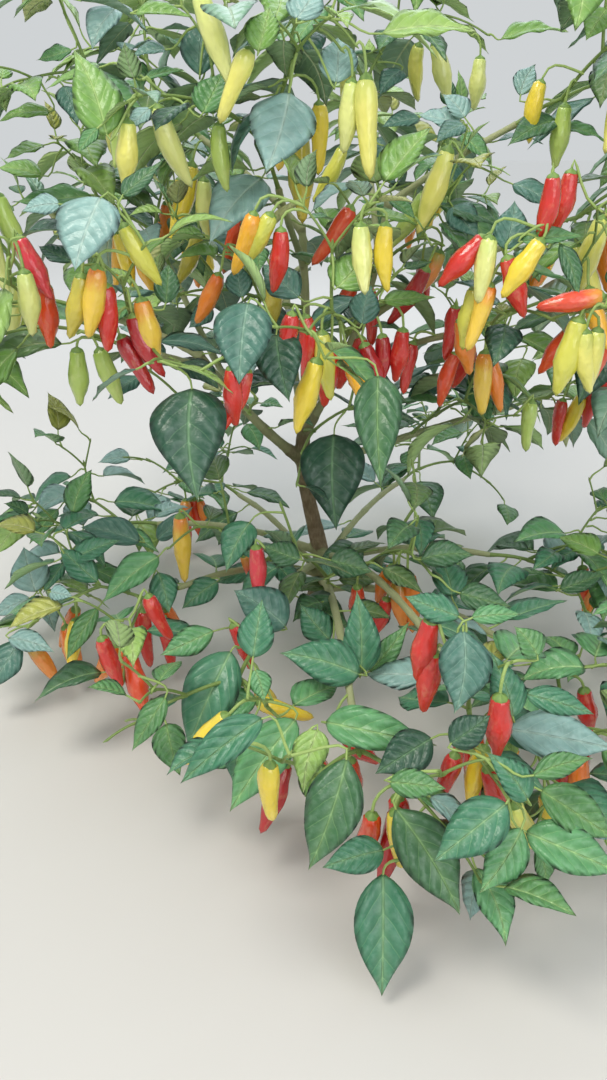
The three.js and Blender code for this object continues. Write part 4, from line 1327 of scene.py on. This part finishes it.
# One pod, hung along -Z from its cup at the top, as long as 1
def modelPod(number, kind):
    bend, waist, stout = kind
    profile = [(t, radius * (1 - waist * math.sin(t * math.pi * podForm["bead"]))) for t, radius in podProfile]
    shoulder = podForm["girth"] * stout * profile[0][1]
    pod = ringOf(shoulder, 0)
    drawRings([(bend * (after * after - t * t), t - after, follow / radius, (bend * after * after, 0, -after))
               for (t, radius), (after, follow) in zip(profile, profile[1:])])
    bpy.ops.mesh.merge(type="CENTER")
    bpy.ops.mesh.select_all(action="SELECT")
    bpy.ops.transform.vertex_random(offset=podForm["knobs"], normal=1, seed=number + 3)
    bpy.ops.object.mode_set(mode="OBJECT")
    turnOutward(pod)
    podFaces = len(pod.data.polygons)
    length = -readSpots(pod.data)[:, 2].min()
    joined(pod, modelCup(shoulder))

    def turnOf(spot, straight):
        return math.atan2(spot[1], spot[0] - (0 if straight else bend * spot[2] ** 2)) / (2 * math.pi) % 1

    def place(spot, face):
        onCup = face.index >= podFaces
        turn = turnOf(spot, onCup)
        turn -= round(turn - turnOf(face.center, onCup))
        if onCup:
            return (0.04 + 0.92 * turn, 0.84 + 0.12 * min(max((spot[2] + 0.03) / 0.12, 0), 1))
        return (0.04 + 0.92 * turn, 0.03 + 0.74 * min(max(-spot[2] / length, 0), 1))

    return readModel(pod, place)


cupForm = {"lip": 1.14, "drop": -0.03,
           "rings": ((0.012, 1.02), (0.03, 0.86), (0.026, 0.5), (0.02, 0.42), (0.05, 0.85))}


# The green cup: a ring that grips the shoulder, domed up into the stalk
def modelCup(shoulder):
    cup = ringOf(shoulder * cupForm["lip"], cupForm["drop"])
    height = cupForm["drop"]
    rings = []
    for rise, scale in cupForm["rings"]:
        height += rise
        rings.append((0, rise, scale, (0, 0, height)))
    drawRings(rings)
    bpy.ops.object.mode_set(mode="OBJECT")
    turnOutward(cup)
    return cup


# The ripeness of a mass's fruit, dealt to each on its own
ripeness = {
    "top": ("cream", "paleYellow", "cream", "green", "paleYellow", "yellow", "orangeShoulder"),
    "band": ("scarlet", "yellow", "orange", "red", "amber", "paleYellow", "red", "orangeShoulder"),
    "red": ("red", "scarlet", "orange", "deepRed", "red", "amber"),
    "yellow": ("yellow", "amber", "orangeShoulder", "paleYellow", "orange"),
    "low": ("red", "scarlet", "orange", "red", "greenOrange", "deepRed", "yellow", "redYellow"),
}
ripeMass = {
    "upper_left": "top", "upper_front": "top", "upper_right": "top", "top": "top", "outer_left": "top",
    "back_left": "yellow", "right_back": "yellow", "outer_back": "yellow", "middle_right": "yellow",
    "front": "red", "centre": "red", "inner": "band", "front_left": "band", "front_right": "band",
    "right": "band", "inner_right": "yellow", "hanging_left": "red", "hanging_front": "red",
}


def placePod(fruit, top, models, draw):
    model = pick(models, draw)
    length, down = fruit["length"], fruit["direction"]
    across = turnedAcross(down, draw(0, 2 * math.pi))
    width = (growth["fruitLength"] / length) ** 0.5
    x, y, z = (model["spots"][:, i:i + 1] for i in range(3))
    return model, top + length * (x * across * width + y * np.cross(-down, across) * width - z * down)


# Ages run from green to bark by thickness; the swelling and the knots are shares of it
barkForm = {
    "voxel": 0.0017, "smooth": 4, "roundness": 5, "between": 5, "node": 0.16, "nodeGap": 46, "nodeLength": 5,
    "collar": 0.55, "collarRun": 2.2, "ageFrom": 5.2, "ageRun": 4.5, "flute": (2.4, 46), "rough": (3.1, 11),
    "ridge": 0.5, "ridgeShares": (0.8, 0.6), "ridgeAt": 8, "ridgeMost": 1.4, "trunkFlute": 0.7,
}


def limbLine(limb, name):
    points = smoothLine(limb["points"], len(limb["points"]) * barkForm["between"])
    length = np.linalg.norm(np.diff(points, axis=0), axis=1).sum()
    line = []
    for i, spot in enumerate(points):
        share = i / (len(points) - 1)
        radius = limb["base"] + (limb["tip"] - limb["base"]) * share
        if name == "trunk":
            radius += trunk["flare"] * math.exp(-spot[2] / trunk["flareHeight"])
            knot = 0
        else:
            off = (share * length) % barkForm["nodeGap"] - barkForm["nodeGap"] / 2
            knot = math.exp(-(off / barkForm["nodeLength"]) ** 2)
            radius *= 1 + barkForm["collar"] * math.exp(-share * length / (barkForm["collarRun"] * limb["base"]))
        line.append((spot, radius * (1 + barkForm["node"] * knot)))
    return line


# The relief of the bark at a spot, and how far the limb there has turned from green to bark
def barkAt(spot, point, radius, onTrunk):
    angle = math.atan2(spot[1] - point[1], spot[0] - point[0])
    turns, rise = barkForm["flute"]
    wide, high = barkForm["rough"]
    flute = noise.noise(Vector((math.cos(angle) * turns, math.sin(angle) * turns, spot[2] / rise)))
    rough = noise.noise(Vector((spot[0] / wide, spot[1] / wide, spot[2] / high)))
    shares = barkForm["ridgeShares"]
    lift = barkForm["ridge"] * (rough * shares[0] + flute * shares[1])
    lift *= min(radius / barkForm["ridgeAt"], barkForm["ridgeMost"])
    if onTrunk:
        lobe = math.cos(trunk["lobes"] * angle) * math.exp(-spot[2] / (2 * trunk["flareHeight"]))
        lift += trunk["lobeDepth"] * radius * lobe + flute * barkForm["trunkFlute"]
    return lift, min(max((radius - barkForm["ageFrom"]) / barkForm["ageRun"], 0), 1)


def makeLimbs(limbs):
    lines = {name: limbLine(limb, name) for name, limb in limbs.items()}
    piece = tubePiece("trunk_and_boughs", lines.values(), barkForm["roundness"])
    applyLast(piece, "REMESH", mode="VOXEL", voxel_size=barkForm["voxel"], use_smooth_shade=True)
    applyLast(piece, "SMOOTH", factor=0.5, iterations=barkForm["smooth"])
    samples = [(point, radius, name == "trunk") for name, line in lines.items() for point, radius in line]
    tree = kdtree.KDTree(len(samples))
    for i, (point, _, _) in enumerate(samples):
        tree.insert(point, i)
    tree.balance()
    spots = readSpots(piece.data) / millimetre
    lifts, ages = np.array([barkAt(spot, *samples[tree.find(spot)[1]]) for spot in spots]).T
    spots += np.array([vertex.normal[:] for vertex in piece.data.vertices]) * lifts[:, None]
    spots[:, 2] = np.maximum(spots[:, 2], 0)
    writeSpots(piece.data, spots * millimetre)
    piece.data.attributes.new("age", "FLOAT", "POINT").data.foreach_set("value", ages.astype(np.float32))
    return piece


# Twigs arch a little and swell at their nodes
twigForm = {"first": 2.5, "thinning": 0.82, "arch": 0.05, "node": 1.22, "steps": 5, "sway": 0.03, "bud": 4,
            "budRadius": 0.3}


def twigLine(twig, draw):
    start, end = twig["start"], twig["end"]
    side, _ = acrossFrame(twig["direction"])
    sway = draw(-1, 1) * twigForm["sway"] * twig["length"]
    first = twigForm["first"] * twigForm["thinning"] ** twig["depth"]
    line = []
    for i in range(twigForm["steps"] + 1):
        t = i / twigForm["steps"]
        hump = 4 * t * (1 - t)
        spot = start + (end - start) * t + upward * hump * twigForm["arch"] * twig["length"] + side * hump * sway
        radius = first * (1 - (1 - twigForm["thinning"]) * t)
        line.append((spot, radius * (twigForm["node"] if i in (0, twigForm["steps"]) else 1)))
    line.append((end + twig["direction"] * twigForm["bud"], first * twigForm["budRadius"]))
    return line


# Tones of leaves by mass and place: young at the shoots' ends, partly with painted backlight, deep inside and below.
# The crown's top takes more painted backlight and painted sky sheen
toneDeal = {
    "crownOuter": ("fresh", "bright", "sheen", "mid", "pale", "bright", "fresh", "slate"),
    "crownInner": ("mid", "slate", "deep", "mid", "fresh", "olive", "slate"),
    "crownTop": ("bright", "fresh", "sheen", "pale", "bright", "young", "fresh", "mid"),
    "young": ("young", "bright", "young", "bright", "yellowed"),
    "hanging": ("deep", "slate", "deep", "mid"),
    "low": ("low", "lowBright", "mid", "low", "fresh", "sheen"),
    "inner": ("low", "mid", "olive", "low"),
}


# Outer crown leaves whose tips stand above topHeight take the crownTop deal, which lightens the top of the crown with
# painted backlight and painted sky sheen
toneRule = {"topHeight": 560, "outer": 0.62, "young": {"crown": 0.6, "low": 0.35}}


def toneFor(leaf, draw):
    mass, group = leaf["mass"], leaf["mass"]["kind"]
    last = leaf.get("bud") or leaf["finer"] and leaf["twig"]["depth"] > len(kinds[group]["shoots"])
    if last and group in toneRule["young"] and draw(0, 1) < toneRule["young"][group]:
        group = "young"
    elif group == "crown" and np.linalg.norm(leaf["tip"] - mass["centre"]) / mass["reach"] > toneRule["outer"]:
        group = "crownTop" if leaf["tip"][2] > toneRule["topHeight"] else "crownOuter"
    elif group == "crown":
        group = "crownInner"
    return toneRank[pick(toneDeal[group], draw)]


def ridesAndReplaces(piece, finish, nodes):
    piece.data.materials.clear()
    piece.data.materials.append(finish)
    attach(piece, "root")
    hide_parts(*nodes)


# The camera stands where the photograph was taken from
camera = addObject("camera", bpy.data.cameras.new("camera"))
camera.location = tuple(eye["place"] * millimetre)
camera.rotation_euler = (math.radians(eye["tilt"]), 0, 0)
camera.data.lens = 29.37
camera.data.sensor_width = 36
camera.data.clip_start = 0.01
bpy.context.scene.camera = camera

# Lamps: place, size, power, colour
studio = {
    "skyColour": "eaeef0", "sky": 0.76, "aim": (0, 0, 0.35), "floor": 24,
    "key_light": ((-0.9, -0.9, 2.4), 1.1, 34, "fffaf0"),
    "fill_light": ((0.9, -2.1, 1.3), 1.8, 19, "f4f6f8"),
    "back_light": ((0.2, 1.7, 2.3), 2.4, 30, "eaf3ff"),
}
for name in ("key_light", "fill_light", "back_light"):
    place, size, power, colour = studio[name]
    lamp = bpy.data.lights.new(name, "AREA")
    lamp.shape = "DISK"
    lamp.size = size
    lamp.energy = power
    lamp.color = shade(colour)
    stand = addObject(name, lamp)
    stand.location = place
    stand.rotation_euler = (Vector(studio["aim"]) - Vector(place)).to_track_quat("-Z", "Y").to_euler()
world = bpy.data.worlds.new("soft_sky")
world.use_nodes = True
world.node_tree.nodes["Background"].inputs[0].default_value = (*shade(studio["skyColour"]), 1)
world.node_tree.nodes["Background"].inputs[1].default_value = studio["sky"]
bpy.context.scene.world = world
bpy.context.scene.view_settings.view_transform = "Standard"

clearAll()
bpy.ops.mesh.primitive_plane_add(size=studio["floor"], location=(0, 0, 0))
floor = bpy.context.object
floor.name = "floor"
floor.data.materials.append(floorFinish("pale_floor"))
print("camera, light and floor set")


def foliageOf(*kindNames):
    return [mass["name"] + "_foliage" for mass in masses if mass["kind"] in kindNames]


stems = makeLimbs(limbs)
ridesAndReplaces(stems, barkFinish("bark"), ["trunk"] + [row[0] + "_bough" for row in limbRows])
print("trunk and boughs:", len(stems.data.polygons), "faces")

draw = seeded(7411)
seenDraw = seeded(placing["seed"])
shoots = tubePiece("shoots", [twigLine(twig, draw) for g in grown for twig in g["twigs"]]
                   + [twigLine(shoot, draw) for shoot in seenShoots], 1)
ridesAndReplaces(shoots, shootFinish("green_shoot", "5f7a3a", "8ba356", "93a96a"), foliageOf(*kinds))


# Where a seen leaf belongs: low, in the shade, or in the crown
def pieceOf(leaf):
    if leaf["base"][2] < placing["lowTop"]:
        return "low_leaves"
    return "shaded_leaves" if leaf["tone"] == "deep" else "crown_leaves"


leafModels = [modelLeaf(kind, leafForm["rows"], leafForm["columns"]) for kind in leafKinds]
fineLeafModels = [modelLeaf(kind, leafForm["fineRows"], leafForm["fineColumns"]) for kind in leafKinds]
leafMaterial = leafFinish("leaf")
stalkLines = []
for name, kindNames, slot in (("crown_leaves", ("crown",), "crown_leaf"),
                              ("shaded_leaves", ("hanging",), "shaded_leaf"),
                              ("low_leaves", ("low", "inner"), "low_leaf")):
    places = []
    for leaf in [leaf for g in grown for leaf in g["leaves"]] + boughLeaves:
        if leaf["mass"]["kind"] not in kindNames:
            continue
        tone = toneFor(leaf, draw)
        for _ in range(proud["tries"]):
            model, placed, line = placeLeaf(leaf, leafModels, draw)
            if inRoom(placed):
                places.append((model, placed, tone))
                stalkLines.append(line)
                break
            leaf["length"] *= proud["shrink"]
    for leaf in leavesSeen:
        if pieceOf(leaf) == name:
            model, placed, line = placeSeenLeaf(leaf, fineLeafModels, seenDraw)
            if inRoom(placed):
                places.append((model, placed, toneRank[leaf["tone"]]))
                stalkLines.append(line)
    piece = setOut(name, places)
    ridesAndReplaces(piece, leafMaterial, foliageOf(*kindNames))
    print(name + ":", len(places), "leaves,", len(piece.data.polygons), "faces")


# A pod's stalk goes a little way into its cup
podStalk = {"into": 4, "radii": (1.5, 1.35), "steps": 5, "rise": 0.4, "alongTwig": 0.8, "seenRise": 14}


def podStalkLine(root, top, down, leave):
    return stalkLine(root, top - down * podStalk["into"], unit(leave), down, podStalk["radii"], podStalk["steps"])


level = np.array([1, 1, 0])
podModels = [modelPod(i, kind) for i, kind in enumerate(podKinds)]
podMaterial = podFinish("pod")
for name, kindNames, slot in (("crown_pods", ("crown", "hanging"), "crown_leaf"),
                              ("low_pods", ("low", "inner"), "low_leaf")):
    places = []
    for g in grown:
        if g["mass"]["kind"] not in kindNames:
            continue
        ripe = ripeness[ripeMass.get(g["mass"]["name"], "low")]
        for fruit in g["fruits"]:
            down = fruit["direction"]
            top = fruit["root"] + down * (growth["stalkLength"] + growth["calyxRise"])
            model, placed = placePod(fruit, top, podModels, draw)
            places.append((model, placed, podRank[pick(ripe, draw)]))
            leave = down * level + upward * podStalk["rise"] + fruit["twig"]["direction"] * podStalk["alongTwig"]
            stalkLines.append(podStalkLine(fruit["root"], top, down, leave))
    for pod in podsSeen:
        if (pod["top"][2] < placing["lowTop"]) == (name == "low_pods"):
            model, placed = placePod(pod, pod["top"], podModels, seenDraw)
            places.append((model, placed, podRank[pod["tone"]]))
            leave = (pod["top"] - pod["root"]) * level + upward * podStalk["seenRise"]
            stalkLines.append(podStalkLine(pod["root"], pod["top"], pod["direction"], leave))
    piece = setOut(name, places)
    ridesAndReplaces(piece, podMaterial, foliageOf(*kindNames))
    print(name + ":", len(places), "pods,", len(piece.data.polygons), "faces")

stalks = tubePiece("leaf_and_pod_stalks", stalkLines, 1)
ridesAndReplaces(stalks, shootFinish("pale_stalk", "7d9a4a", "a6bd6e", "b4c883"), foliageOf(*kinds))
